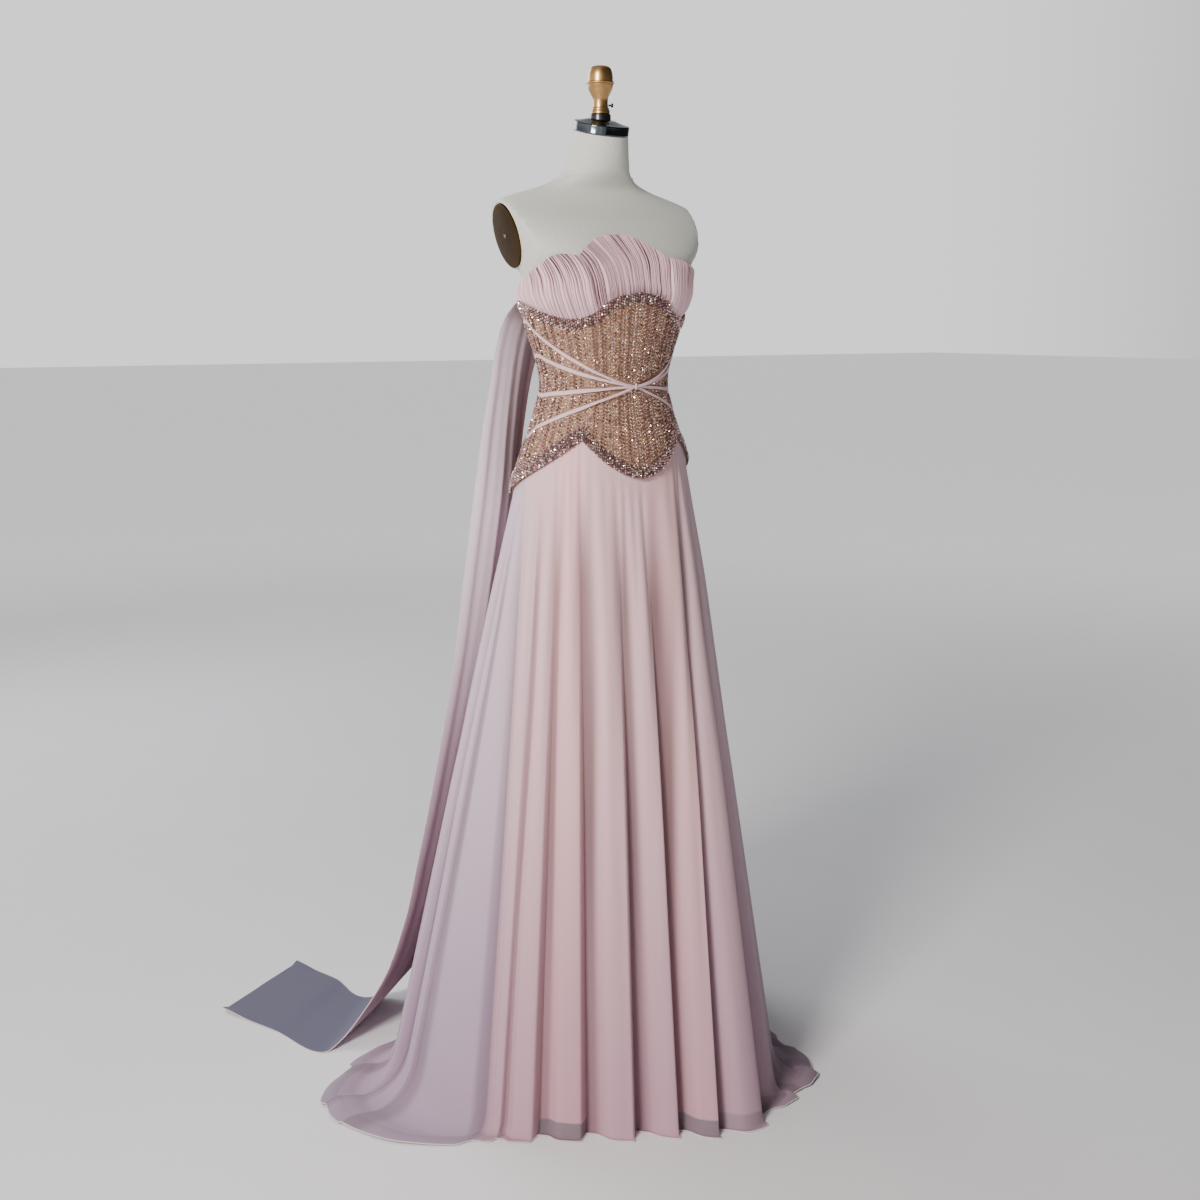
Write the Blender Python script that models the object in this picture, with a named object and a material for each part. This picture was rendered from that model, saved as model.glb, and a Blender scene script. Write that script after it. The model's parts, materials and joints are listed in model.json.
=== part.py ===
"""A-line evening gown on a limbless dress form, modelled at real size.

Metres, +Z up. The gown faces -Y and its wearer's right side is at -X. The origin is the centre
of the stand's underside, on the floor. An angle round the body is in degrees from the front (-Y)
towards the left side (+X): 90 is the left side, 180 the back and -90 the right side.

Every layer of the bodice is one body surface moved outwards: form, skirt top, corset, trim and
straps follow each other at the distances in the LAYERS section.
"""

import math
from typing import NamedTuple

import bmesh
import bpy
import numpy as np

# ---------------------------------------------------------------------------------------------
# Driving sizes of the body
# ---------------------------------------------------------------------------------------------


class Section(NamedTuple):
    """One level section of the dress form, an ellipse with its own front and back depth."""

    height: float
    half_width: float
    front: float
    back: float
    centre: float


# Arm sections are wider than the shoulders: the arm plates' planes cut them.
BODY = (
    Section(height=0.780, half_width=0.146, front=0.098, back=0.102, centre=0.000),
    Section(height=0.860, half_width=0.158, front=0.106, back=0.111, centre=0.000),
    Section(height=0.940, half_width=0.165, front=0.113, back=0.116, centre=0.000),
    Section(height=1.020, half_width=0.162, front=0.115, back=0.112, centre=0.000),
    Section(height=1.080, half_width=0.142, front=0.106, back=0.097, centre=0.000),
    Section(height=1.140, half_width=0.120, front=0.093, back=0.083, centre=0.000),
    Section(height=1.190, half_width=0.109, front=0.087, back=0.078, centre=0.000),
    Section(height=1.240, half_width=0.121, front=0.093, back=0.085, centre=0.000),
    Section(height=1.290, half_width=0.138, front=0.102, back=0.095, centre=0.000),
    Section(height=1.330, half_width=0.148, front=0.106, back=0.103, centre=0.000),
    Section(height=1.365, half_width=0.150, front=0.105, back=0.108, centre=0.000),
    Section(height=1.385, half_width=0.163, front=0.104, back=0.111, centre=0.000),
    Section(height=1.420, half_width=0.205, front=0.094, back=0.110, centre=0.010),
    Section(height=1.455, half_width=0.222, front=0.072, back=0.090, centre=0.020),
    Section(height=1.480, half_width=0.205, front=0.050, back=0.066, centre=0.030),
    Section(height=1.496, half_width=0.162, front=0.041, back=0.052, centre=0.033),
    Section(height=1.509, half_width=0.116, front=0.038, back=0.045, centre=0.033),
    Section(height=1.521, half_width=0.083, front=0.043, back=0.047, centre=0.030),
    Section(height=1.535, half_width=0.063, front=0.050, back=0.051, centre=0.025),
    Section(height=1.555, half_width=0.055, front=0.051, back=0.052, centre=0.019),
    Section(height=1.602, half_width=0.0465, front=0.0460, back=0.0470, centre=0.009),
)
BUST_ANGLE = 40.0
BUST_SPREAD = 24.0
BUST_HEIGHT = 1.365
BUST_TALL = 0.045
BUST_OUT = 0.010

# ---------------------------------------------------------------------------------------------
# Layers: how far each surface lies outside the dress form
# ---------------------------------------------------------------------------------------------

SEAM = 0.0003
SKIRT_LINING = 0.0016
CLOTH = 0.0014
CORSET_INSIDE = 0.0040
CORSET_OUTSIDE = 0.0056
TRIM_INSIDE = 0.0071
TRIM_OUTSIDE = 0.0097
STRAP_INSIDE = 0.0070
STRAP_THICK = 0.0014
STRAP_PITCH = 0.0018
SEAM_TURN = 0.08

# ---------------------------------------------------------------------------------------------
# Bodice edges, as heights over the angle from the front
# ---------------------------------------------------------------------------------------------

NOTCH_ANGLE = 42


class EdgePoint(NamedTuple):
    """A point of an edge that is the same on both sides of the front."""

    angle: float
    height: float


TOP_EDGE = (
    EdgePoint(angle=0, height=1.338),
    EdgePoint(angle=20, height=1.325),
    EdgePoint(angle=33, height=1.302),
    EdgePoint(angle=48, height=1.294),
    EdgePoint(angle=66, height=1.301),
    EdgePoint(angle=84, height=1.313),
    EdgePoint(angle=112, height=1.323),
    EdgePoint(angle=180, height=1.312),
)
CENTRE_SCALLOP = (
    EdgePoint(angle=0, height=1.030),
    EdgePoint(angle=10, height=1.037),
    EdgePoint(angle=24, height=1.058),
    EdgePoint(angle=34, height=1.079),
    EdgePoint(angle=NOTCH_ANGLE, height=1.096),
)
SIDE_SCALLOP = (
    EdgePoint(angle=NOTCH_ANGLE, height=1.096),
    EdgePoint(angle=62, height=1.062),
    EdgePoint(angle=80, height=1.037),
    EdgePoint(angle=112, height=1.004),
    EdgePoint(angle=150, height=0.984),
    EdgePoint(angle=180, height=0.978),
)
TRIM_TOP_HEIGHT = 0.017
TRIM_BOTTOM_FRONT = 0.020
TRIM_BOTTOM_SIDE = 0.033
TRIM_WIDENS_FROM = 17
TRIM_WIDENS_TO = 84
CORSET_UNDER_TRIM = 0.0072
SKIRT_UNDER_CORSET = 0.008
SKIRT_BELOW_CORSET = 0.0025
BODICE_STEP = 6
BACK_STEP = 9
CORSET_ROWS = (0.0, 0.11, 0.22, 0.31, 0.40, 0.49, 0.58, 0.67, 0.77, 0.87, 0.96, 1.0)


class Shell(NamedTuple):
    """One pleated shell of the neckline: its ends at the trim and its upper edge."""

    name: str
    start: float
    end: float
    pleats: int
    neckline: tuple


SHELL_LEAN = 6.0
SHELL_LIFT = 0.002
SHELL_CLEAR = 0.0012
PLEAT_RELIEF = 0.0020
PLEAT_SHAPE = (0.0, 1.0, 0.5)
SHELL_ROWS = (0.0, 0.3, 0.66, 1.0)
SHELLS = (
    Shell(
        name="bust_shell_right",
        start=-112,
        end=-29,
        pleats=13,
        neckline=(
            EdgePoint(angle=-112, height=1.337),
            EdgePoint(angle=-78, height=1.366),
            EdgePoint(angle=-58, height=1.382),
            EdgePoint(angle=-46, height=1.394),
            EdgePoint(angle=-36, height=1.398),
            EdgePoint(angle=-29, height=1.395),
        ),
    ),
    Shell(
        name="bust_shell_centre",
        start=-29,
        end=25,
        pleats=27,
        neckline=(
            EdgePoint(angle=-29, height=1.395),
            EdgePoint(angle=-20, height=1.411),
            EdgePoint(angle=-10, height=1.427),
            EdgePoint(angle=0, height=1.431),
            EdgePoint(angle=8, height=1.425),
            EdgePoint(angle=16, height=1.410),
            EdgePoint(angle=25, height=1.395),
        ),
    ),
    Shell(
        name="bust_shell_left",
        start=25,
        end=112,
        pleats=13,
        neckline=(
            EdgePoint(angle=25, height=1.395),
            EdgePoint(angle=36, height=1.391),
            EdgePoint(angle=48, height=1.382),
            EdgePoint(angle=70, height=1.368),
            EdgePoint(angle=90, height=1.354),
            EdgePoint(angle=112, height=1.337),
        ),
    ),
)

# ---------------------------------------------------------------------------------------------
# Waist straps: they cross at the centre front and fan out to the sides and back
# ---------------------------------------------------------------------------------------------


class StrapEnd(NamedTuple):
    """Where a strap meets the side seam, how it bends on the way, and how it runs to the zip."""

    side_height: float
    bend: float
    behind_side: float
    back_height: float


CROSSING_HEIGHT = 1.183
STRAP_WIDTH = 0.0075
STRAP_NARROWING = 0.4
STRAP_STEP = 9
STRAP_SIDE = 90
STRAP_BACK_BEND = 2.2
# A strap carries on past the side seam before it turns to the zip; this is that bulge's power.
STRAP_BULGE_POWER = 3
STRAP_STACK_ANGLE = 26
STRAP_FLAT_ANGLE = 50
STRAP_ENDS = (
    StrapEnd(side_height=1.277, bend=1.42, behind_side=0.0375, back_height=1.212),
    StrapEnd(side_height=1.232, bend=1.30, behind_side=0.0120, back_height=1.198),
    StrapEnd(side_height=1.168, bend=1.10, behind_side=-0.0060, back_height=1.184),
    StrapEnd(side_height=1.113, bend=1.00, behind_side=-0.0370, back_height=1.170),
)

# ---------------------------------------------------------------------------------------------
# Skirt
# ---------------------------------------------------------------------------------------------


class HemPoint(NamedTuple):
    """The skirt's plan: how far out its wall meets the floor, and how far out its hem lies."""

    angle: float
    foot: float
    hem: float


HEM = (
    HemPoint(angle=-180, foot=0.368, hem=0.560),
    HemPoint(angle=-165, foot=0.358, hem=0.455),
    HemPoint(angle=-150, foot=0.348, hem=0.380),
    HemPoint(angle=-130, foot=0.340, hem=0.362),
    HemPoint(angle=-116, foot=0.345, hem=0.376),
    HemPoint(angle=-105, foot=0.372, hem=0.455),
    HemPoint(angle=-90, foot=0.410, hem=0.550),
    HemPoint(angle=-75, foot=0.428, hem=0.538),
    HemPoint(angle=-62, foot=0.420, hem=0.472),
    HemPoint(angle=-50, foot=0.400, hem=0.414),
    HemPoint(angle=-38, foot=0.380, hem=0.390),
    HemPoint(angle=-25, foot=0.376, hem=0.386),
    HemPoint(angle=-12, foot=0.392, hem=0.402),
    HemPoint(angle=0, foot=0.418, hem=0.430),
    HemPoint(angle=10, foot=0.388, hem=0.410),
    HemPoint(angle=22, foot=0.342, hem=0.410),
    HemPoint(angle=34, foot=0.301, hem=0.396),
    HemPoint(angle=46, foot=0.270, hem=0.330),
    HemPoint(angle=60, foot=0.256, hem=0.280),
    HemPoint(angle=90, foot=0.282, hem=0.322),
    HemPoint(angle=120, foot=0.318, hem=0.440),
    HemPoint(angle=150, foot=0.350, hem=0.570),
    HemPoint(angle=180, foot=0.368, hem=0.560),
)


class Fold(NamedTuple):
    """One soft fold: the angle of the valley where it begins, at the top and at the hem."""

    top: float
    hem: float
    depth: float


FOLDS = (
    Fold(top=-180, hem=-180, depth=0.024),
    Fold(top=-166, hem=-166, depth=0.026),
    Fold(top=-153, hem=-153, depth=0.018),
    Fold(top=-141, hem=-141, depth=0.020),
    Fold(top=-129, hem=-129, depth=0.016),
    Fold(top=-118, hem=-118, depth=0.022),
    Fold(top=-103, hem=-103, depth=0.028),
    Fold(top=-90, hem=-90, depth=0.026),
    Fold(top=-87, hem=-77, depth=0.020),
    Fold(top=-83, hem=-64, depth=0.028),
    Fold(top=-70, hem=-56, depth=0.020),
    Fold(top=-57, hem=-48, depth=0.030),
    Fold(top=-43, hem=-37, depth=0.034),
    Fold(top=-29, hem=-31, depth=0.010),
    Fold(top=-15, hem=-25, depth=0.028),
    Fold(top=6, hem=-19, depth=0.010),
    Fold(top=28, hem=-15, depth=0.034),
    Fold(top=42, hem=-7, depth=0.028),
    Fold(top=52, hem=6, depth=0.026),
    Fold(top=61, hem=19, depth=0.024),
    Fold(top=69, hem=32, depth=0.020),
    Fold(top=76, hem=45, depth=0.020),
    Fold(top=82, hem=59, depth=0.020),
    Fold(top=86, hem=74, depth=0.018),
    Fold(top=90, hem=90, depth=0.024),
    Fold(top=105, hem=105, depth=0.026),
    Fold(top=119, hem=119, depth=0.024),
    Fold(top=134, hem=134, depth=0.028),
    Fold(top=150, hem=150, depth=0.026),
    Fold(top=165, hem=165, depth=0.024),
)
FOLD_FRACTIONS = (0.0, 0.22, 0.5, 0.78)
FOLD_ROUNDNESS = 0.75
FOLD_GROWTH = 1.25
WALL_ROWS = (0.0, 0.13, 0.32, 0.54, 0.77, 1.0)
BEND_ROWS = (0.4, 0.75, 1.0)
BEND_LOWEST = 0.016
BEND_SHARE = 0.45
LANDING_SHARE = 0.5
HEM_RIPPLE = 0.010
HEM_EDGE_RIPPLE = 0.005
RIPPLE_SPREAD = 0.110
SKIRT_PANELS = (
    ("skirt_back_right", -180, -90),
    ("skirt_front", -90, 90),
    ("skirt_back_left", 90, 180),
)

# ---------------------------------------------------------------------------------------------
# Streamer: the long panel that hangs from the right side back and opens out on the floor
# ---------------------------------------------------------------------------------------------


class StreamerRow(NamedTuple):
    """One level of the streamer: its two selvedges, as angle and distance from the axis."""

    height: float
    outer_angle: float
    outer_radius: float
    inner_angle: float
    inner_radius: float
    fold_depth: float


STREAMER_TOP_ANGLES = (-117, -148)
STREAMER_TOP_HEIGHT = 1.322
STREAMER_TOP_OUT = 0.0112
STREAMER_COLUMNS = 12
STREAMER_FOLDS = 3
STREAMER = (
    StreamerRow(1.296, -116, 0.168, -152, 0.118, 0.004),
    StreamerRow(1.250, -119, 0.182, -151, 0.127, 0.006),
    StreamerRow(1.190, -121, 0.193, -150, 0.143, 0.008),
    StreamerRow(1.110, -122, 0.208, -150, 0.158, 0.009),
    StreamerRow(1.000, -123, 0.224, -150, 0.172, 0.010),
    StreamerRow(0.860, -123, 0.243, -150, 0.190, 0.011),
    StreamerRow(0.680, -123, 0.267, -150, 0.222, 0.012),
    StreamerRow(0.500, -124, 0.300, -150, 0.262, 0.012),
    StreamerRow(0.330, -124, 0.335, -150, 0.300, 0.012),
    StreamerRow(0.200, -123, 0.365, -149, 0.333, 0.011),
    StreamerRow(0.110, -121, 0.398, -147, 0.366, 0.010),
    StreamerRow(0.050, -117, 0.440, -144, 0.405, 0.007),
    StreamerRow(0.012, -114, 0.478, -142, 0.443, 0.003),
    StreamerRow(0.000, -112, 0.502, -140, 0.470, 0.000),
    StreamerRow(0.000, -122, 0.605, -146, 0.576, 0.000),
    StreamerRow(0.000, -129, 0.725, -149, 0.693, 0.000),
)
FLOOR_RIPPLE = 0.006

# ---------------------------------------------------------------------------------------------
# Centre-back zip
# ---------------------------------------------------------------------------------------------

ZIP_WIDTH = 0.006
ZIP_TOP = 1.308
ZIP_BOTTOM = 0.990
ZIP_ROWS = 12
ZIP_SIDE_TURN = 1.9
TRIM_SIDE_TURN = 3.4
SLIDER_HEIGHT = 0.012
SLIDER_WIDTH = 0.0070
SLIDER_DEPTH = 0.0036
SLIDER_FACE = 0.7
SLIDER_CENTRE = 1.300
PULL_LENGTH = 0.024
PULL_WIDTH = 0.0062
PULL_THICK = 0.0014
PULL_CLEAR = 0.0010
PULL_ABOVE_HINGE = 0.0009
# The pull tab's outline: shares of its half width and of its length, from the top down.
PULL_SHAPE = ((0.5, 0.0), (0.7, 0.36), (1.0, 0.78), (0.6, 1.0))

# ---------------------------------------------------------------------------------------------
# Dress form, cap, finial and stand
# ---------------------------------------------------------------------------------------------

TORSO_SIDES = 36
NECK_BASE = 1.535
NECK_TOP = BODY[-1].height
NECK_TILT = math.radians(14)
ARM_X = 0.169
ARM_Y = 0.030
ARM_Z = 1.430
ARM_TILT = math.radians(16)
PLATE_HALF_HEIGHT = 0.054
PLATE_HALF_WIDTH = 0.038
PLATE_THICK = 0.004
PLATE_SIDES = 24
PLATE_BEVEL = 0.0012
PIN_RADIUS = 0.003
PIN_HEIGHT = 0.0015
PIN_SIDES = 8
CAP_RADIUS = 0.0475
CAP_BAND = 0.016
CAP_CROWN = 0.006
CAP_SHOULDER_RADIUS = 0.94
CAP_SHOULDER_RISE = 0.55
CAP_TOP_RADIUS = 0.60
CAP_SIDES = 28
SOCKET_RADIUS = 0.0180
SOCKET_TOP = 1.632
FINIAL_Y = 0.010
FINIAL_NECK = 0.0130
FINIAL_PROFILE = (
    (0.0162, 0.0000),
    (0.0162, 0.0085),
    (FINIAL_NECK, 0.0105),
    (FINIAL_NECK, 0.0180),
    (0.0165, 0.0260),
    (0.0205, 0.0340),
    (0.0222, 0.0430),
    (0.0234, 0.0470),
    (0.0234, 0.0520),
    (0.0188, 0.0550),
    (0.0195, 0.0610),
    (0.0172, 0.0700),
    (0.0112, 0.0760),
    (0.0020, 0.0780),
)
FINIAL_SIDES = 20
SCREW_RADIUS = 0.0035
SCREW_LENGTH = 0.0085
SCREW_HEIGHT = 1.6465
SCREW_TURN = math.radians(57)
SCREW_SIDES = 10
POLE_RADIUS = 0.0125
POLE_SIDES = 20
BASE_PROFILE = (
    (0.170, 0.000),
    (0.170, 0.006),
    (0.150, 0.011),
    (0.040, 0.017),
    (0.020, 0.026),
)
BASE_SIDES = 32


# ---------------------------------------------------------------------------------------------
# Curves and surfaces
# ---------------------------------------------------------------------------------------------


def smooth_through(places, values, at):
    """Read a smooth curve through (place, value) pairs, with a cubic between each pair."""
    places = np.asarray(places, float)
    values = np.asarray(values, float)
    slopes = np.gradient(values, places)
    at = np.clip(at, places[0], places[-1])
    span = np.clip(np.searchsorted(places, at, side="right") - 1, 0, len(places) - 2)
    length = places[span + 1] - places[span]
    t = (at - places[span]) / length
    rise = t * t * (3 - 2 * t)
    leaving = t * (1 - t) * (1 - t) * slopes[span] * length
    arriving = t * t * (1 - t) * slopes[span + 1] * length
    return values[span] * (1 - rise) + values[span + 1] * rise + leaving - arriving


def read_table(rows, key, name, at):
    """Read one named column of a table of named tuples at any place of its key column."""
    places = [getattr(row, key) for row in rows]
    values = [getattr(row, name) for row in rows]
    return smooth_through(places, values, at)


def smooth_step(low, high, at):
    """0 below low, 1 above high, and a smooth rise between."""
    t = np.clip((at - low) / (high - low), 0.0, 1.0)
    return t * t * (3 - 2 * t)


def bust_mound(angle, height):
    """How far the two soft cups stand out of the plain section."""
    away = np.minimum(np.abs(angle - BUST_ANGLE), np.abs(angle + BUST_ANGLE))
    across = (away / BUST_SPREAD) ** 2
    up = ((height - BUST_HEIGHT) / BUST_TALL) ** 2
    return BUST_OUT * np.exp(-across - up)


def body_points(angle, height, out):
    """Points of the body's surface at these angles and heights, moved out by a distance."""
    angle, height, out = np.broadcast_arrays(angle, height, out)
    turn = np.radians(angle)
    mound = bust_mound(angle, height) + out
    front = read_table(BODY, "height", "front", height)
    back = read_table(BODY, "height", "back", height)
    depth = np.where(np.cos(turn) > 0, front, back) + mound
    half_width = read_table(BODY, "height", "half_width", height) + mound
    x = half_width * np.sin(turn)
    y = read_table(BODY, "height", "centre", height) - depth * np.cos(turn)
    return np.stack([x, y, height], axis=-1)


def polar(angle, radius, height):
    """The point at this angle from the front and this distance from the axis."""
    angle, radius, height = np.broadcast_arrays(angle, radius, height)
    turn = np.radians(angle)
    return np.stack([radius * np.sin(turn), -radius * np.cos(turn), height], axis=-1)


def top_edge(angle):
    """The upper edge of the top trim."""
    return read_table(TOP_EDGE, "angle", "height", np.abs(angle))


def lower_edge(angle):
    """The corset's lower edge: one scallop in front, a notch each side, and a fall to the back."""
    away = np.abs(angle)
    centre = read_table(CENTRE_SCALLOP, "angle", "height", away)
    side = read_table(SIDE_SCALLOP, "angle", "height", away)
    return np.where(away < NOTCH_ANGLE, centre, side)


def normals_of(grid):
    """Unit normals of a grid of points, facing the side that rows x columns turn towards."""
    along = np.gradient(grid, axis=0)
    across = np.gradient(grid, axis=1)
    normal = np.cross(across, along)
    return normal / np.linalg.norm(normal, axis=-1, keepdims=True)


# ---------------------------------------------------------------------------------------------
# Building blocks
# ---------------------------------------------------------------------------------------------


def clear_scene():
    """Remove the scene's objects."""
    for found in list(bpy.data.objects):
        bpy.data.objects.remove(found, do_unlink=True)


def make_material(name, colour, roughness, metallic=0.0):
    """A plain material of one colour."""
    material = bpy.data.materials.new(name)
    material.use_nodes = True
    shader = material.node_tree.nodes["Principled BSDF"]
    shader.inputs["Base Color"].default_value = (*colour, 1.0)
    shader.inputs["Roughness"].default_value = roughness
    shader.inputs["Metallic"].default_value = metallic
    material.diffuse_color = (*colour, 1.0)
    return material


def finish_object(name, points, faces, material, parent):
    """Turn points and faces into a named object with outward faces."""
    mesh = bpy.data.meshes.new(name)
    mesh.from_pydata([tuple(point) for point in points], [], faces)
    shape = bmesh.new()
    shape.from_mesh(mesh)
    bmesh.ops.recalc_face_normals(shape, faces=shape.faces)
    shape.to_mesh(mesh)
    shape.free()
    mesh.shade_smooth()
    mesh.set_sharp_from_angle(angle=math.radians(50))
    mesh.materials.append(material)
    made = bpy.data.objects.new(name, mesh)
    bpy.context.scene.collection.objects.link(made)
    made.parent = parent
    return made


def make_wall(name, outer, inner, material, parent):
    """A closed wall between two grids of points that have the same rows and columns."""
    rows, columns = outer.shape[:2]
    points = np.concatenate([outer.reshape(-1, 3), inner.reshape(-1, 3)])
    inside = rows * columns
    faces = []

    def add_quad(a, b, c, d):
        faces.append((a, b, c))
        faces.append((a, c, d))

    for row in range(rows - 1):
        for column in range(columns - 1):
            a = row * columns + column
            b = a + 1
            c = b + columns
            d = a + columns
            add_quad(a, b, c, d)
            faces.append((inside + a, inside + c, inside + b))
            faces.append((inside + a, inside + d, inside + c))
    for column in range(columns - 1):
        last = (rows - 1) * columns + column
        add_quad(column, column + inside, column + 1 + inside, column + 1)
        add_quad(last, last + 1, last + 1 + inside, last + inside)
    for row in range(rows - 1):
        left = row * columns
        right = left + columns - 1
        add_quad(left, left + columns, left + columns + inside, left + inside)
        add_quad(right, right + inside, right + columns + inside, right + columns)
    return finish_object(name, points, faces, material, parent)


def make_loft(name, rings, material, parent):
    """A closed solid through rings of equal length, with a flat face on each end."""
    count, sides = rings.shape[:2]
    faces = [tuple(range(sides)), tuple((count - 1) * sides + k for k in range(sides))]
    for ring in range(count - 1):
        for k in range(sides):
            a = ring * sides + k
            b = ring * sides + (k + 1) % sides
            faces.append((a, b, b + sides))
            faces.append((a, b + sides, a + sides))
    return finish_object(name, rings.reshape(-1, 3), faces, material, parent)


def turned_rings(profile, sides, base):
    """Rings round a vertical axis from a profile of (radius, height) pairs."""
    angles = np.arange(sides) * 360.0 / sides
    rings = [polar(angles, radius, height) for radius, height in profile]
    return np.array(rings) + np.array(base)


# ---------------------------------------------------------------------------------------------
# Dress form and stand
# ---------------------------------------------------------------------------------------------


def arm_plane_x(height):
    """Distance from the middle to an arm plate's plane, which leans in at its bottom."""
    return ARM_X + math.tan(ARM_TILT) * (height - ARM_Z)


def make_torso(material, parent):
    """The form's body and neck, with a flat cut at each arm."""
    angles = np.arange(TORSO_SIDES) * 360.0 / TORSO_SIDES - 180.0
    rings = []
    for section in BODY:
        ring = body_points(angles, section.height, 0.0)
        limit = arm_plane_x(section.height)
        ring[:, 0] = np.clip(ring[:, 0], -limit, limit)
        share = smooth_step(NECK_BASE, NECK_TOP, section.height)
        ring[:, 2] += share * math.tan(NECK_TILT) * (ring[:, 1] - section.centre)
        rings.append(ring)
    return make_loft("form_torso", np.array(rings), material, parent)


def tilted_ring(radius, rise, sides):
    """A ring square to the neck's tilted axis, this far above the neck's top face."""
    top = BODY[-1]
    angles = np.arange(sides) * 360.0 / sides
    ring = polar(angles, radius, 0.0)
    y = ring[:, 1] * math.cos(NECK_TILT) - rise * math.sin(NECK_TILT)
    z = ring[:, 1] * math.sin(NECK_TILT) + rise * math.cos(NECK_TILT)
    return np.stack([ring[:, 0], y + top.centre, z + NECK_TOP], axis=-1)


def make_cap(material, parent):
    """The polished cap that closes the neck: a straight band under a low crown."""
    levels = (
        (CAP_RADIUS, SEAM),
        (CAP_RADIUS, CAP_BAND),
        (CAP_RADIUS * CAP_SHOULDER_RADIUS, CAP_BAND + CAP_CROWN * CAP_SHOULDER_RISE),
        (CAP_RADIUS * CAP_TOP_RADIUS, CAP_BAND + CAP_CROWN),
    )
    rings = [tilted_ring(radius, rise, CAP_SIDES) for radius, rise in levels]
    return make_loft("neck_cap", np.array(rings), material, parent)


def make_socket(material, parent):
    """The dark socket: its foot follows the cap's tilt and its top is level."""
    angles = np.arange(POLE_SIDES) * 360.0 / POLE_SIDES
    head = polar(angles, SOCKET_RADIUS, SOCKET_TOP) + np.array([0.0, FINIAL_Y, 0.0])
    foot = head.copy()
    rise = CAP_BAND + CAP_CROWN + SEAM
    middle_y = BODY[-1].centre - rise * math.sin(NECK_TILT)
    middle_z = NECK_TOP + rise * math.cos(NECK_TILT)
    foot[:, 2] = middle_z + (foot[:, 1] - middle_y) * math.tan(NECK_TILT)
    make_loft("finial_socket", np.array([foot, head]), material, parent)


def make_finial(wood, metal, parent):
    """The turned wooden finial and its small side screw."""
    base = (0.0, FINIAL_Y, SOCKET_TOP + SEAM)
    make_loft("finial", turned_rings(FINIAL_PROFILE, FINIAL_SIDES, base), wood, parent)
    along = np.array([math.sin(SCREW_TURN), -math.cos(SCREW_TURN), 0.0])
    across = np.array([math.cos(SCREW_TURN), math.sin(SCREW_TURN), 0.0])
    turns = np.radians(np.arange(SCREW_SIDES) * 360.0 / SCREW_SIDES)[:, None]
    circle = SCREW_RADIUS * (np.cos(turns) * across + np.sin(turns) * np.array([0, 0, 1.0]))
    start = np.array([0.0, FINIAL_Y, SCREW_HEIGHT]) + along * (FINIAL_NECK + SEAM)
    rings = np.array([circle + start, circle + start + along * SCREW_LENGTH])
    make_loft("finial_screw", rings, metal, parent)


def plate_ring(side, scale, out, sides=PLATE_SIDES):
    """An oval on an arm plate's plane, this far outside it."""
    turns = np.radians(np.arange(sides) * 360.0 / sides)
    up = PLATE_HALF_HEIGHT * scale * np.cos(turns)
    across = PLATE_HALF_WIDTH * scale * np.sin(turns)
    x = ARM_X + up * math.sin(ARM_TILT) + out * math.cos(ARM_TILT)
    z = ARM_Z + up * math.cos(ARM_TILT) - out * math.sin(ARM_TILT)
    return np.stack([side * x, ARM_Y + across, z], axis=-1)


def make_arm_plates(metal, parent):
    """The two oval plates over the arm cuts, each with a small pin at its middle."""
    inset = 1 - PLATE_BEVEL / PLATE_HALF_WIDTH
    for name, side in (("right", -1), ("left", 1)):
        rings = [
            plate_ring(side, 1.0, SEAM),
            plate_ring(side, 1.0, PLATE_THICK - PLATE_BEVEL),
            plate_ring(side, inset, PLATE_THICK),
        ]
        make_loft(f"arm_plate_{name}", np.array(rings), metal, parent)
        head = PIN_RADIUS / PLATE_HALF_WIDTH
        pin = [
            plate_ring(side, head, PLATE_THICK + SEAM, PIN_SIDES),
            plate_ring(side, head, PLATE_THICK + SEAM + PIN_HEIGHT, PIN_SIDES),
        ]
        make_loft(f"arm_pin_{name}", np.array(pin), metal, parent)


def make_stand(metal, parent):
    """The weighted round base and the pole that carries the form."""
    make_loft("stand_base", turned_rings(BASE_PROFILE, BASE_SIDES, (0, 0, 0)), metal, parent)
    pole = (
        (POLE_RADIUS, BASE_PROFILE[-1][1] + SEAM),
        (POLE_RADIUS, BODY[0].height - SEAM),
    )
    make_loft("stand_pole", turned_rings(pole, POLE_SIDES, (0, 0, 0)), metal, parent)


# ---------------------------------------------------------------------------------------------
# Bodice
# ---------------------------------------------------------------------------------------------


def panel_angles(start, end, step, turn=SEAM_TURN):
    """Angles across a panel, drawn in a little at its two seams."""
    angles = np.linspace(start, end, int(round((end - start) / step)) + 1)
    angles[0] += turn
    angles[-1] -= turn
    return angles


def back_angles(start, end, step, opening):
    """Angles of a half back, which stops short of the centre back by its opening."""
    angles = panel_angles(start, end, step)
    if start == -180:
        angles[0] = start + opening
    else:
        angles[-1] = end - opening
    return angles


def make_corset(material, parent):
    """The stiff net corset: a front and two backs, from the top trim to the lower edge."""
    panels = (
        ("corset_front", panel_angles(-90, 90, BODICE_STEP)),
        ("corset_back_right", back_angles(-180, -90, BACK_STEP, ZIP_SIDE_TURN)),
        ("corset_back_left", back_angles(90, 180, BACK_STEP, ZIP_SIDE_TURN)),
    )
    share = np.array(CORSET_ROWS)[:, None]
    for name, angles in panels:
        top = top_edge(angles) - CORSET_UNDER_TRIM
        heights = top + (lower_edge(angles) - top) * share
        outer = body_points(angles, heights, CORSET_OUTSIDE)
        inner = body_points(angles, heights, CORSET_INSIDE)
        make_wall(name, outer, inner, material, parent)


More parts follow.
